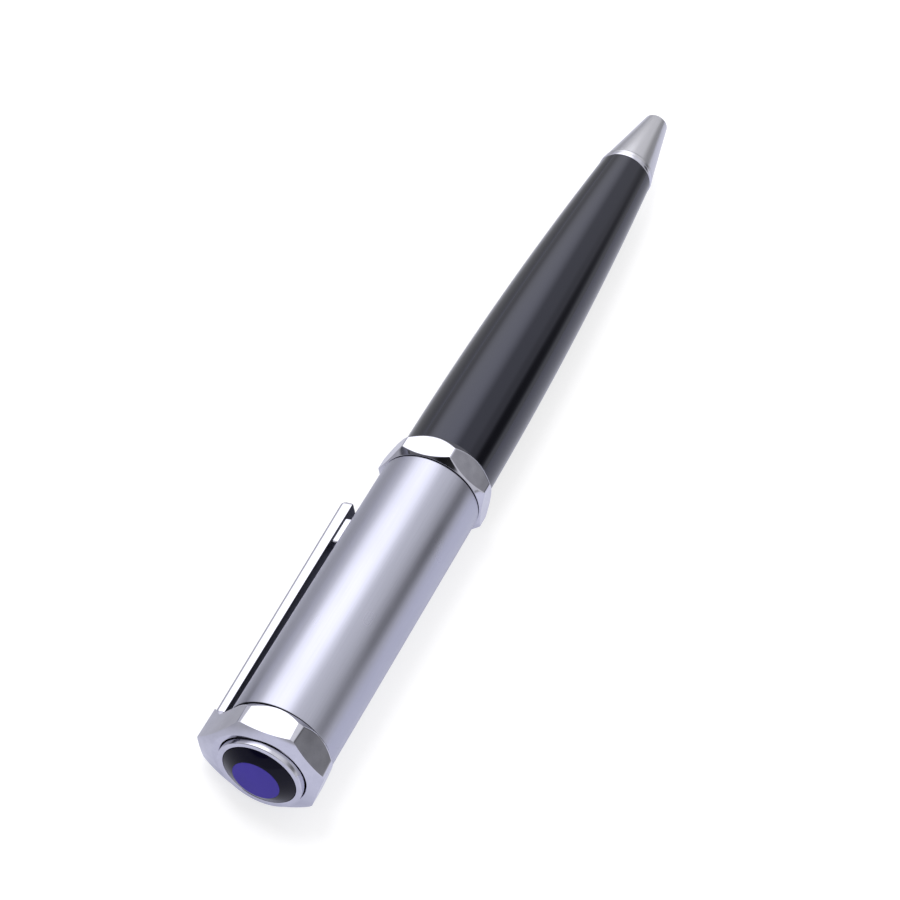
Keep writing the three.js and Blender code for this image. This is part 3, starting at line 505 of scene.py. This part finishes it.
# The first facet is the clip's, and ridges[i] rounds the corner between facets i and i + 1. plainTo,
# coneFrom and shoulder are angles from the clip's middle. The pen rests on the sixth ridge.
head = {"apothem": 6.95, "clipApothem": 8.85, "ridges": [0.35, 0.9, 0.5, 0.5, 0.5, 1.6, 0.35],
        "corner": 7.588, "face": 5.75, "dome": 1.1, "domeStart": 0.3, "domeShift": 0.8, "draft": 0.05,
        "rearChamfer": 0.85, "groove": 0.2, "grooveAtClip": 0.65, "grooveFade": 4, "shadedGrooveFrom": 0.7,
        "lipOut": 0.2, "neck": 6.2, "plainTo": 40.0, "coneFrom": 51.0, "plainSpare": 1.2,
        "overhang": 0.8, "shoulder": 13.0, "leastOverhang": 0.02, "recess": 5.61, "recessEdge": 0.06,
        "wedgeAcross": 3.41, "wedgeOut": 6.87, "soft": 0.02, "columns": 1050, "edgeClear": 0.3,
        "faceRows": 34, "sideRows": 44, "sideCrowding": 1.3, "rearRows": 16, "overRows": 12}


# The head's columns, as angles from the clip's middle in radians, and which of them lie inside the
# clip's wedge. They are even, with a pair on each edge of the wedge, one inside and one outside.
def headColumns(wedge):
    step = 2 * np.pi / head["columns"]
    off = np.arange(head["columns"]) * step - np.pi
    off = off[np.abs(np.abs(off) - wedge) > head["edgeClear"] * step]
    side = np.concatenate([np.where(np.abs(off) < wedge, 1, 0), [0, 1, 1, 0]])
    off = np.concatenate([off, [-wedge, -wedge, wedge, wedge]])
    order = np.lexsort((np.where(off < 0, side, 1 - side), off))
    return off[order], side[order] == 1


# The head is one skin. Its rows run from the bezel's recess over the domed face, back along the
# facets, round the rear edge and in to the bore. The dome's depth at a point is
# start x d + bend x d^2, where d is how far it lies outside the flat face, measured from an axis
# moved towards the clip. Inside the clip's wedge the rows run on over the cap, and come back under.
def makeHead():
    corner = head["corner"]
    domeReach = corner + head["domeShift"] - head["face"]
    bend = (head["dome"] - head["domeStart"] * domeReach) / domeReach ** 2
    wedge = math.atan2(head["wedgeAcross"], head["wedgeOut"])
    off, inside = headColumns(wedge)
    angle = off + math.radians(clipAngle)
    apothems = [head["clipApothem"]] + [head["apothem"]] * (facetCount - 1)
    facet = facetRadius(angle, apothems, head["ridges"], clipAngle)
    shift = head["domeShift"]

    def domeX(r):
        fromDomeAxis = np.sqrt(r ** 2 - 2 * r * shift * np.cos(off) + shift ** 2)
        d = np.maximum(fromDomeAxis - head["face"], 0)
        return headFront + head["domeStart"] * d + bend * d ** 2

    # the groove between head and cap tube is widest at the clip
    lip = capRear - head["groove"] - head["grooveAtClip"] * np.cos(off / 2) ** head["grooveFade"]
    chamferRear = cap["radius"] + head["lipOut"]
    turnX = headFront + head["dome"]
    chamferX = lip - head["rearChamfer"]

    # beside the clip the facets run on to the rear edge, further round their corners are coned
    fromClip = np.abs(np.degrees(off))
    coned = np.clip((fromClip - head["plainTo"]) / (head["coneFrom"] - head["plainTo"]), 0, 1)
    spare = (1 - coned ** 2 * (3 - 2 * coned)) * head["plainSpare"]

    # the most that a coned corner reaches out at x: a slight draft first, then the rear chamfer
    def limit(x):
        along = np.clip((x - turnX) / (chamferX - turnX)[None], 0, 1)
        down = np.clip((x - chamferX[None]) / head["rearChamfer"], 0, 1)
        drop = (corner - head["draft"] - chamferRear) * down
        return corner - head["draft"] * along - drop + spare[None]

    def sideR(x):
        coneR = softMin(facet[None] * np.ones_like(x), limit(x), head["soft"])
        return np.where(inside[None], facet[None], coneR)

    full = np.ones((1, len(off)))
    edgeR = np.where(inside, facet, softMin(facet, corner + spare, head["soft"]))
    edgeX = domeX(edgeR)
    recess, recessEdge = head["recess"], head["recessEdge"]
    faceT = np.linspace(0, 1, head["faceRows"])[:, None]
    faceR = recess + recessEdge + faceT * (edgeR - recess - recessEdge)[None]
    recessX = domeX(np.full(len(off), recess)) + recessEdge
    sideT = (np.linspace(0, 1, head["sideRows"])[1:, None]) ** head["sideCrowding"]
    sideX = edgeX[None] + sideT * (chamferX - edgeX)[None]
    rearT = np.linspace(0, 1, head["rearRows"])[1:, None]
    rearX = chamferX[None] + rearT * (lip - chamferX)[None]
    # the wedge's shoulders slant back from the clip to the rear edge
    shoulder = math.radians(head["shoulder"])
    reach = np.clip((wedge - np.abs(off)) / (wedge - shoulder), head["leastOverhang"], 1)
    overT = np.linspace(0, 1, head["overRows"])[1:, None]
    overX = lip[None] + overT * (reach * (capRear + head["overhang"] - lip))[None]
    # the wedge's underside is flat; outside the wedge its cosine only has to stay above nothing
    widest = 1.2
    under = np.minimum(head["wedgeOut"] / np.cos(np.clip(off, -widest, widest)), facet)

    lipRow = lip[None]
    rearR = sideR(lipRow)
    underAll = np.where(inside[None], under[None], rearR)
    outAll = np.where(inside[None], facet[None], rearR)
    blocks = [
        (bezelBack * full, recess * full),
        (recessX[None], recess * full),
        (domeX(faceR), faceR),
        (sideX, sideR(sideX)),
        (rearX, sideR(rearX)),
        (np.where(inside[None], overX, lipRow), outAll * np.ones_like(overX)),
        (np.where(inside[None], overX[::-1], lipRow), underAll * np.ones_like(overX)),
        (lipRow, underAll), (lipRow, np.minimum(underAll, rearR)), (lipRow, head["neck"] * full),
        (capRear * full, head["neck"] * full), (capRear * full, recess * full),
    ]
    x = np.concatenate([b[0] for b in blocks])
    r = np.concatenate([b[1] for b in blocks])
    # no quads join the columns inside the wedge to those outside it, over the cap
    rows = [len(b[1]) for b in blocks]
    firstOver = sum(rows[:5]) - 1
    lastUnder = sum(rows[:8]) - 1
    skip = np.zeros(x.shape, bool)
    seam = np.flatnonzero(inside != np.roll(inside, -1))
    skip[firstOver:lastUnder, seam] = True
    piece = gridMesh("sevenSidedHead", aroundAxis(x, r, angle[None]), sharp=40.0, skip=skip)
    place(piece, "cap", steelPolished, "head")
    # painted shade: the walls of the groove in front of the cap tube get dark steel, where the groove's
    # shadow falls
    paintShadeOnFaces(piece, lambda centre, normal: (
        (centre[:, 0] > capRear - head["shadedGrooveFrom"]) & (axisDistance(centre) < cap["radius"])))


makeRing()
makeHead()
print("head and ring made")


# Clip.

clip = {"width": 3.3, "rear": 7.5, "tip": 7.885, "rise": 1.25, "reach": 36.0, "gap": 0.14,
        "clearance": 0.12, "outerRound": 0.5, "innerRound": 0.2, "rearEdge": 0.03, "shadedUnderTilt": -0.6,
        "plainFrom": 0.1, "plainTo": 1.0, "plainRows": 40, "roundRows": 14,
        "tipRound": 0.55, "tipBefore": 0.25, "tipBend": 0.98, "tipOut": 0.5, "tipIn": 0.22,
        "tipSide": 0.25, "padWidth": 2.7, "padLength": 4.3, "padInset": 2.3, "padTop": 8.385,
        "padRound": 0.12, "padEdge": 0.4, "padCutDown": 0.8, "padCutSide": 0.12, "padRows": 12}
clipRear = capRear + head["overhang"] + clip["gap"]
clipEnd = clipRear + clip["reach"]


# A bar lofted along x: at each station a rectangle whose corners are quarter circles, low and high
# being its distances from the axis. Both ends are poles.
def loftedBar(name, x, low, high, half, outerRound, innerRound, steps=14):
    quarter = np.repeat(np.arange(4), steps)
    t = quarter * np.pi / 2 + np.tile(np.linspace(0, np.pi / 2, steps), 4)
    right, top = np.array([1, -1, -1, 1])[quarter], np.array([1, 1, -1, -1])[quarter]
    tall = (high - low) / 2
    largest = 0.9 * np.minimum(tall, half)[:, None]
    r = np.minimum(np.where(top > 0, outerRound, innerRound)[None], largest)
    across = (half[:, None] - r) * right + r * np.cos(t)
    out = ((low + high) / 2)[:, None] + (tall[:, None] - r) * top + r * np.sin(t)
    turn = math.radians(clipAngle)
    y = out * math.cos(turn) - across * math.sin(turn)
    z = out * math.sin(turn) + across * math.cos(turn) + axisHeight
    points = np.stack([np.repeat(x[:, None], len(t), axis=1), y, z], axis=-1)
    ends = [np.repeat(points[:1].mean(axis=1, keepdims=True), len(t), axis=1),
            np.repeat(points[-1:].mean(axis=1, keepdims=True), len(t), axis=1)]
    return gridMesh(name, np.concatenate([ends[0], points, ends[1]]), wrapRows=False, sharp=40.0)


# The bar's outer edge rises evenly, and its last part rounds down as a quarter of an ellipse: it
# falls by 1 - sqrt(1 - bend n^2), n running from 0 to 1 over the rounded part.
def makeClipBar():
    outerSlope = math.tan(math.radians(clip["rise"]))
    innerSlope = (clip["tip"] - clip["rear"]) / (clip["reach"] - clip["tipBefore"])
    edge, tipRound = clip["rearEdge"], clip["tipRound"]
    t = np.linspace(0, 1, clip["roundRows"])
    plain = np.linspace(clipRear + clip["plainFrom"], clipEnd - clip["plainTo"], clip["plainRows"])
    x = np.unique(np.concatenate([
        [clipRear, clipRear + edge], plain, clipEnd - tipRound * (1 - np.sin(t * np.pi / 2))]))
    near = np.clip((x - (clipEnd - tipRound)) / tipRound, 0, 1)
    fall = 1 - np.sqrt(1 - clip["tipBend"] * near ** 2)
    atRear = np.clip((clipRear + edge - x) / edge, 0, 1) * edge
    high = head["clipApothem"] + outerSlope * (x - clipRear) - clip["tipOut"] * fall - atRear
    low = clip["rear"] + innerSlope * (x - clipRear) + clip["tipIn"] * fall + atRear
    half = clip["width"] / 2 - clip["tipSide"] * fall - atRear
    bar = loftedBar("clipBar", x, low, high, half, clip["outerRound"], clip["innerRound"])
    place(bar, "clip_body", steelPolished, "clip")
    # painted shade: the side that faces the cap gets dull dark steel, for the shade in the gap between
    # clip and cap
    outward = np.array([0.0, math.cos(math.radians(clipAngle)), math.sin(math.radians(clipAngle))])
    paintShadeOnFaces(bar, lambda centre, normal: normal @ outward < clip["shadedUnderTilt"])


# The pad hangs under the bar's tip. Towards both ends its lower side and its flanks are cut back
# by the square of how far a point lies into the end's edge.
def makeClipPad():
    front = clipEnd - clip["padInset"]
    rear = front - clip["padLength"]
    edge = clip["padEdge"]
    t = np.linspace(0, 1, clip["roundRows"])
    x = np.unique(np.concatenate([
        rear + edge * t ** 2, np.linspace(rear + edge, front - edge, clip["padRows"]),
        front - edge * t ** 2]))
    toEnd = np.minimum(x - rear, front - x)
    cut = np.clip(edge - toEnd, 0, edge)
    low = cap["radius"] + clip["clearance"] + clip["padCutDown"] * edge * (cut / edge) ** 2
    high = np.full(len(x), clip["padTop"])
    half = clip["padWidth"] / 2 - clip["padCutSide"] * (cut / edge) ** 2
    pad = loftedBar("clipPad", x, low, high, half, clip["padRound"], clip["padRound"])
    place(pad, "clip_body", steelPolished, None)


makeClipBar()
makeClipPad()
print("clip made")


# Barrel half.

# noseSeat and wideTo are measured back from the barrel's front end, insertSeat from its rear end.
barrel = {"rear": 6.3, "front": 3.9, "bore": 5.25, "insertSeat": 9.0, "wideBore": 4.3, "wideTo": 24.0,
          "noseBore": 3.42, "noseSeat": 6.0, "edge": 0.06, "rows": 160}


# The barrel's outline is a circle's arc, r = rear - sweep + sqrt(sweep^2 - (x - start)^2).
def barrelOutline(x):
    length = barrelFront - ringFront
    drop = barrel["rear"] - barrel["front"]
    sweep = (length ** 2 + drop ** 2) / (2 * drop)
    return barrel["rear"] - sweep + np.sqrt(sweep ** 2 - (x - ringFront) ** 2)


def makeBarrel():
    edge, seat = barrel["edge"], ringFront + barrel["insertSeat"]
    x = np.linspace(ringFront + edge, barrelFront - edge, barrel["rows"])
    outside = np.stack([x, barrelOutline(x), np.zeros(len(x))], axis=1)
    rows = np.vstack([
        [[ringFront, barrel["rear"] - edge, 0.0]], outside,
        [[barrelFront, barrel["front"] - edge, 0.0], [barrelFront, barrel["noseBore"], 0.0],
         [barrelFront - barrel["noseSeat"], barrel["noseBore"], 0.0],
         [barrelFront - barrel["wideTo"], barrel["wideBore"], 0.0], [seat, barrel["wideBore"], 0.0],
         [seat, barrel["bore"], 0.0], [ringFront, barrel["bore"], 0.0]],
    ])
    turnedPiece("blackBarrel", rows, "front", resinBlack, "barrel", steps=2)


makeBarrel()

trim = {"length": 0.7, "proud": 0.05, "edge": 0.14}
trimFront, trimRadius = barrelFront + trim["length"], barrel["front"] + trim["proud"]
trimRows = tubeRows(barrelFront, trimFront, barrel["noseBore"], trimRadius, 0.0, trim["edge"])
turnedPiece("trimRing", trimRows, "front", steelPolished, "nose_trim_ring")

# mouthDepth, mouthCone and seat are measured back from the tip's front end
nose = {"band": 0.6, "bandInset": 0.1, "bandRound": 0.08, "groove": 0.12, "grooveDepth": 0.12,
        "coneInset": 0.08, "edge": 0.05, "tip": 1.7, "tipLength": 0.2, "tipDrop": 0.18, "mouth": 1.32,
        "mouthDepth": 2.6, "mouthCone": 2.9, "seat": 6.1, "seatRadius": 1.62, "spigot": 3.38,
        "spigotBore": 3.06, "spigotBack": 5.5, "wall": 0.55, "shadedGrooveSlack": 0.01, "shadedGrooveInset": 0.03}


def makeNose():
    band = trimFront + nose["band"]
    bandRadius = barrel["front"] - nose["bandInset"]
    coneRear = band + nose["groove"]
    coneRadius = bandRadius - nose["coneInset"]
    grooveRadius = coneRadius - nose["grooveDepth"]
    slope = (coneRadius - nose["tip"]) / (noseTip - coneRear)
    seat = noseTip - nose["seat"]
    spigotRear = barrelFront - nose["spigotBack"]
    chamber = nose["tip"] + slope * nose["seat"] - nose["wall"]
    chamberRear = noseTip - (nose["spigotBore"] + nose["wall"] - nose["tip"]) / slope
    edge, tipLength, tipDrop = nose["edge"], nose["tipLength"], nose["tipDrop"]
    piece = turnedPiece("noseCone", [
        (spigotRear, nose["spigotBore"], 0.0), (spigotRear, nose["spigot"], edge),
        (trimFront, nose["spigot"], 0.0), (trimFront, bandRadius, nose["bandRound"]),
        (band, bandRadius, edge), (band, grooveRadius, 0.0),
        (coneRear, grooveRadius, 0.0), (coneRear, coneRadius, edge),
        (noseTip - tipLength, nose["tip"] + slope * tipLength, tipDrop),
        (noseTip, nose["tip"] - tipDrop, tipLength),
        (noseTip, nose["mouth"], edge), (noseTip - nose["mouthDepth"], nose["mouth"], 0.0),
        (noseTip - nose["mouthCone"], nose["seatRadius"], 0.0), (seat, nose["seatRadius"], 0.0),
        (seat, chamber, 0.0), (chamberRear, nose["spigotBore"], 0.0),
    ], "front", steelNose, "nose_cone")
    # painted shade: the turned groove behind the cone gets dark steel, a dark line where its shadow falls
    slack = nose["shadedGrooveSlack"]
    paintShadeOnFaces(piece, lambda centre, normal: (
        (centre[:, 0] > band - slack) & (centre[:, 0] < coneRear + slack)
        & (axisDistance(centre) < coneRadius - nose["shadedGrooveInset"])))


makeNose()
print("barrel, trim ring and nose made")


# Turned pieces of the core and the refill, which show when the barrel is off.

# seat is measured from the ring's rear end, neckOut and boreTo from its front end, oRingAt from the
# hub's rear end, threadEnd and leadIn from its front end.
core = {"bore": 4.09, "boreTo": 1.0, "outer": 5.79, "rearRound": 0.3, "edge": 0.04, "seat": 0.8,
        "neck": 5.2, "neckOut": 0.3, "refillWay": 3.15, "wayRound": 0.1,
        "oRing": 5.31, "cord": 0.5, "oRingAt": 1.6, "oRingSink": 0.04, "oRingRoom": 0.1,
        "thread": 4.7, "threadDepth": 0.14, "threadPitch": 0.75, "threadStart": 0.15, "threadEnd": 0.5,
        "crestFrom": 0.3, "crestTo": 0.4, "leadIn": 0.3, "leadDrop": 0.02, "frontDrop": 0.32,
        "endRound": 0.05}


def makeHub():
    rear, front = span("hub")
    seat, neckFront = ringRear + core["seat"], ringFront + core["neckOut"]
    boreFront = ringFront + core["boreTo"]
    oRingX = rear + core["oRingAt"]
    groove = core["oRing"] - core["cord"] - core["oRingSink"]
    half = core["cord"] + core["oRingRoom"]
    edge, endRound = core["edge"], core["endRound"]
    crest, root = core["thread"], core["thread"] - core["threadDepth"]
    # the thread's turns are drawn as rings: a low corner and a crest in each pitch
    count = int((front - core["threadEnd"] - neckFront) / core["threadPitch"])
    threads = []
    for k in range(count):
        at = neckFront + core["threadStart"] + k * core["threadPitch"]
        threads += [(at, root, edge), (at + core["crestFrom"], crest, edge),
                    (at + core["crestTo"], crest, edge)]
    turnedPiece("threadedHub", [
        (rear, core["bore"], 0.0), (rear, core["outer"], core["rearRound"]),
        (oRingX - half, core["outer"], edge), (oRingX - half, groove, 0.0),
        (oRingX + half, groove, 0.0), (oRingX + half, core["outer"], edge),
        (seat, core["outer"], edge), (seat, core["neck"], 0.0), (neckFront, core["neck"], endRound),
        (neckFront, root, 0.0), *threads, (front - core["leadIn"], crest - core["leadDrop"], endRound),
        (front, crest - core["frontDrop"], endRound), (front, core["refillWay"], core["wayRound"]),
        (boreFront, core["refillWay"], 0.0), (boreFront, core["bore"], 0.0),
    ], "core", inner["turnedBrass"], "hub", sides=160, steps=4)


makeHub()

washer = {"bore": 5.89, "outer": 6.55, "boreCut": 0.02, "outerCut": 0.05}
turnedPiece("glideWasher", tubeRows(capFront, ringRear, **washer),
            "core", inner["blackAcetal"], "glide_washer", sides=160, steps=4)

insert = {"bore": 4.76, "outer": 5.21, "boreCut": 0.08, "outerCut": 0.08}
turnedPiece("threadedInsert", tubeRows(*span("barrel_insert"), **insert),
            "front", inner["turnedBrass"], "barrel_insert", sides=160, steps=4)

# cavityEnd and coneEnd are measured back from the shoulder
refill = {"radius": 2.95, "wall": 0.25, "endEdge": 0.04, "shoulder": 0.5, "shoulderRound": 0.2,
          "cavityEnd": 0.75, "coneEnd": 1.0, "neck": 1.5, "neckLength": 8.0, "neckRound": 0.15,
          "neckEdge": 0.1, "endLength": 0.5, "endDrop": 0.15, "nozzle": 1.18, "nozzleEdge": 0.05,
          "taper": 2.4, "taperRound": 0.1, "rim": 0.07, "rimEdge": 0.02, "ball": 0.5, "proud": 0.35,
          "clearance": 0.04, "socketRows": 12, "ballRows": 33, "ballSides": 64}


def makeRefillTube():
    rear, end = span("refill_tube")
    front, radius, neck = end - refill["neckLength"], refill["radius"], refill["neck"]
    bore, step, edge = radius - refill["wall"], refill["shoulder"], refill["endEdge"]
    turnedPiece("refillTube", [
        (rear, bore, 0.0), (rear, radius, edge),
        (front - step, radius, refill["shoulderRound"]), (front, radius - step, refill["shoulderRound"]),
        (front, neck, refill["neckRound"]), (end - refill["endLength"], neck, refill["neckEdge"]),
        (end, neck - refill["endDrop"], edge), (end, 0.0, 0.0), (front - refill["cavityEnd"], 0.0, 0.0),
        (front - refill["cavityEnd"], bore - step, 0.0), (front - refill["coneEnd"], bore, 0.0),
    ], "drive", inner["drawnSteel"], "refill_tube", sides=128, steps=5)


# The nozzle's socket is a part of a sphere round the ball, so that the ball stands proud but stays.
def makeNozzleAndBall():
    rear, ballFront = span("refill_tube")[1], span("writing_ball")[1]
    ballCentre = ballFront - refill["ball"]
    socketEdge = ballFront - refill["proud"]
    socket = refill["ball"] + refill["clearance"]
    mouth = math.sqrt(socket ** 2 - (socketEdge - ballCentre) ** 2)
    turn = np.linspace(math.atan2(mouth, socketEdge - ballCentre), math.pi, refill["socketRows"])[1:]
    inside = [(ballCentre + socket * math.cos(a), socket * math.sin(a), 0.0) for a in turn]
    turnedPiece("refillNozzle", [
        (rear, 0.0, 0.0), (rear, refill["nozzle"], refill["nozzleEdge"]),
        (ballFront - refill["taper"], refill["nozzle"], refill["taperRound"]),
        (socketEdge, mouth + refill["rim"], refill["rimEdge"]), (socketEdge, mouth, 0.0), *inside,
    ], "drive", inner["turnedBrass"], "refill_nozzle", sides=96, steps=4)
    sides = refill["ballSides"]
    fromTip = np.linspace(0, math.pi, refill["ballRows"])
    around = np.arange(sides) * 2 * np.pi / sides
    x, angle = np.meshgrid(ballCentre + refill["ball"] * np.cos(fromTip), around, indexing="ij")
    r = np.repeat(refill["ball"] * np.sin(fromTip)[:, None], sides, axis=1)
    ball = gridMesh("writingBall", aroundAxis(x, r, angle), wrapRows=False)
    place(ball, "drive", inner["groundCarbide"], "writing_ball")


makeRefillTube()
makeNozzleAndBall()
print("core and refill pieces made")


# The other inner nodes keep their shapes and get their finishes.

innerFinish = {
    "head_screw": "drawnSteel", "cap_plug": "turnedBrass", "clip_pin": "drawnSteel",
    "clip_leaf_spring": "drawnSteel", "drive_sleeve": "turnedBrass", "guide_tube": "turnedBrass",
    "plunger": "whiteAcetal", "drive_pin": "drawnSteel", "retaining_ring": "drawnSteel",
    "o_ring": "blackRubber", "return_spring": "drawnSteel", "refill_plug": "blackAcetal",
}
for node, finish in innerFinish.items():
    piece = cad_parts[node]
    piece.data.materials.clear()
    piece.data.materials.append(inner[finish])
print("inner nodes finished:", len(innerFinish))


# Studio.

# The floor's places are in metres, its lift is light of its own. Each key and dark is an azimuth, a
# height, the angles of the lobe's rim and core, and a strength. The lamp's sizes are in metres.
studio = {
    "floorColour": "#b4b4b6", "floorSize": 4.0, "floorLift": 0.64,
    "mirrorLift": 0.42, "mirrorTint": (0.9, 0.92, 1.16), "liftX": (-0.14, -0.12), "liftY": (0.0, 0.3),
    "liftStops": [(0.0, 1.0), (0.028, 0.9), (0.055, 0.1), (0.12, 0.0), (0.5, 0.6), (1.0, 0.9)],
    "patchColour": "#4a4a4c", "patchX": (-0.018, -0.03), "patchY": (0.022, 0.036),
    "ambient": 0.8,
    "keys": [(50.0, 42.0, 37.0, 11.0, 1.45), (2.0, 55.0, 45.0, 5.0, 0.2)],
    "darks": [(-47.0, 19.0, 14.0, 1.0, 0.8), (-56.0, 23.0, 18.0, 2.0, 0.55),
              (-40.0, 34.0, 14.0, 2.0, 0.25), (-26.0, 11.0, 18.0, 2.0, 0.5),
              (150.0, 14.0, 52.0, 12.0, 0.8), (178.0, 27.0, 22.0, 9.0, 0.93)],
    "lampAzimuth": 90.0, "lampHeight": 70.0, "lampPower": 0.9, "lampSize": 0.16, "lampAway": 0.6,
}


def direction(azimuth, height):
    a, h = math.radians(azimuth), math.radians(height)
    return (math.cos(h) * math.cos(a), math.cos(h) * math.sin(a), math.sin(h))


# Paper that shows brighter to the camera than its shading alone. In the metal its own light fades
# out a little way to the pen's left and comes back further off, as the table in the photograph does.
def makePaper():
    material, tree = newMaterial("palePaper")
    paths = addNode(tree, "ShaderNodeLightPath")
    mirrored = addNode(tree, "ShaderNodeMath", {
        0: paths.outputs["Is Glossy Ray"], 1: paths.outputs["Is Transmission Ray"]}, operation="MAXIMUM")
    coords = addNode(tree, "ShaderNodeTexCoord")
    parts = addNode(tree, "ShaderNodeSeparateXYZ", {0: coords.outputs["Object"]})
    x, y = parts.outputs["X"], parts.outputs["Y"]
    # how far a point of the floor lies between two limits
    liftX, liftY, patchX, patchY = [addNode(tree, "ShaderNodeMapRange", {
        "Value": along, "From Min": studio[key][0], "From Max": studio[key][1]}, interpolation_type=ease)
        for along, key, ease in ((x, "liftX", "SMOOTHSTEP"), (y, "liftY", "LINEAR"),
                                 (x, "patchX", "SMOOTHSTEP"), (y, "patchY", "SMOOTHSTEP"))]
    ramp = addNode(tree, "ShaderNodeValToRGB", {0: liftY.outputs[0]})
    stops, elements = studio["liftStops"], ramp.color_ramp.elements
    while len(elements) < len(stops):
        elements.new(0.5)
    for element, (at, level) in zip(elements, stops):
        element.position = at
        element.color = (level, level, level, 1.0)
    share = addNode(tree, "ShaderNodeMath", {
        0: liftX.outputs[0], 1: ramp.outputs[0]}, operation="MULTIPLY")
    mirroredShare = addNode(tree, "ShaderNodeMath", {
        0: mirrored.outputs[0], 1: share.outputs[0]}, operation="MULTIPLY")
    mirroredLift = addNode(tree, "ShaderNodeMath", {
        0: mirroredShare.outputs[0], 1: studio["mirrorLift"]}, operation="MULTIPLY")
    cameraLift = addNode(tree, "ShaderNodeMath", {
        0: paths.outputs["Is Camera Ray"], 1: studio["floorLift"]}, operation="MULTIPLY")
    lift = addNode(tree, "ShaderNodeMath", {
        0: mirroredLift.outputs[0], 1: cameraLift.outputs[0]}, operation="ADD")
    # painted reflection: a dark patch on the floor to the left of the head, shown in the metal only
    patch = addNode(tree, "ShaderNodeMath", {
        0: patchX.outputs[0], 1: patchY.outputs[0]}, operation="MULTIPLY")
    patchSeen = addNode(tree, "ShaderNodeMath", {
        0: patch.outputs[0], 1: mirrored.outputs[0]}, operation="MULTIPLY")
    colour = addNode(tree, "ShaderNodeMix", {
        0: patchSeen.outputs[0], 6: linear(studio["floorColour"]),
        7: linear(studio["patchColour"])}, data_type="RGBA")
    paper = addNode(tree, "ShaderNodeBsdfDiffuse", {"Color": colour.outputs[2]})
    # the table looks faintly lavender in the metal
    glowColour = addNode(tree, "ShaderNodeMix", {
        0: paths.outputs["Is Camera Ray"], 6: (*studio["mirrorTint"], 1.0),
        7: (1, 1, 1, 1)}, data_type="RGBA")
    glow = addNode(tree, "ShaderNodeEmission", {
        "Color": glowColour.outputs[2], "Strength": lift.outputs[0]})
    both = addNode(tree, "ShaderNodeAddShader", {0: paper.outputs[0], 1: glow.outputs[0]})
    return finishMaterial(material, both)


# The floor touches the ring's flat and the head's lowest ridge, so it leans about half a degree.
def makeFloor():
    flatRear = (ringRear + ring["rearChamfer"]) * mm
    ridgeFront = (headFront + head["dome"]) * mm
    tilt = -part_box("head")[0][2] / (flatRear - ridgeFront)
    half = studio["floorSize"] / 2
    corners = np.array([[-half, -half], [half, -half], [half, half], [-half, half]])
    height = tilt * (corners[:, 0] - flatRear)
    mesh = bpy.data.meshes.new("paleFloor")
    mesh.from_pydata(np.column_stack([corners, height]).tolist(), [], [(0, 1, 2, 3)])
    mesh.materials.append(makePaper())
    floor = bpy.data.objects.new("paleFloor", mesh)
    bpy.context.scene.collection.objects.link(floor)


# A soft lobe round one direction: the cosine to it, eased from the lobe's rim to its core.
def lobe(tree, vector, azimuth, height, rim, core, strength):
    dot = addNode(tree, "ShaderNodeVectorMath", {
        0: vector, 1: direction(azimuth, height)}, operation="DOT_PRODUCT")
    return addNode(tree, "ShaderNodeMapRange", {
        "Value": dot.outputs["Value"], "From Min": math.cos(math.radians(rim)),
        "From Max": math.cos(math.radians(core)), "To Min": 0.0, "To Max": strength},
        interpolation_type="SMOOTHSTEP")


def makeWorld():
    world = bpy.data.worlds.new("softStudio")
    world.use_nodes = True
    tree = world.node_tree
    tree.nodes.clear()
    coords = addNode(tree, "ShaderNodeTexCoord")
    paths = addNode(tree, "ShaderNodeLightPath")
    way = coords.outputs["Generated"]
    level = studio["ambient"]
    for key in studio["keys"]:
        light = lobe(tree, way, *key)
        level = addNode(tree, "ShaderNodeMath", {
            0: light.outputs[0], 1: level}, operation="ADD").outputs[0]
    for dark in studio["darks"]:
        share = addNode(tree, "ShaderNodeMath", {
            0: 1.0, 1: lobe(tree, way, *dark).outputs[0]}, operation="SUBTRACT")
        level = addNode(tree, "ShaderNodeMath", {
            0: level, 1: share.outputs[0]}, operation="MULTIPLY").outputs[0]
    final = addNode(tree, "ShaderNodeMix", {
        0: paths.outputs["Is Camera Ray"], 2: level, 3: 1.0}, data_type="FLOAT")
    back = addNode(tree, "ShaderNodeBackground", {
        "Color": (1, 1, 1, 1), "Strength": final.outputs[0]})
    addNode(tree, "ShaderNodeOutputWorld", {"Surface": back.outputs[0]})
    bpy.context.scene.world = world


def makeLamp():
    light = bpy.data.lights.new("softLamp", "AREA")
    light.shape = "DISK"
    light.size = studio["lampSize"]
    light.energy = studio["lampPower"]
    lamp = bpy.data.objects.new("softLamp", light)
    bpy.context.scene.collection.objects.link(lamp)
    away = np.array(direction(studio["lampAzimuth"], studio["lampHeight"])) * studio["lampAway"]
    side = np.cross([0, 0, 1], away)
    axes = np.array([side, np.cross(away, side), away])
    lamp.location = away
    lamp.rotation_euler = Matrix(axes.T.tolist()).normalized().to_euler()
    lamp.visible_glossy = False


# The photograph's camera: lens and sensor in mm, spot in metres, and the picture's own directions.
photoView = {
    "sensor": 36.0, "lens": 112.12, "nearest": 0.01, "spot": (-0.2151196, -0.013091, 0.2898787),
    "right": (0.411601, -0.867694, 0.278742), "up": (0.672667, 0.495593, 0.549476),
    "ahead": (0.614901, 0.038664, -0.787642),
}


def makeCamera():
    data = bpy.data.cameras.new("photoView")
    data.sensor_width = photoView["sensor"]
    data.lens = photoView["lens"]
    data.clip_start = photoView["nearest"]
    camera = bpy.data.objects.new("photoView", data)
    bpy.context.scene.collection.objects.link(camera)
    right, up, ahead, spot = [photoView[key] for key in ("right", "up", "ahead", "spot")]
    camera.matrix_world = Matrix([
        [right[k], up[k], -ahead[k], spot[k]] for k in range(3)] + [[0, 0, 0, 1]])
    bpy.context.scene.camera = camera


makeFloor()
makeWorld()
makeLamp()
makeCamera()
bpy.context.scene.view_settings.view_transform = "Standard"
print("studio made")
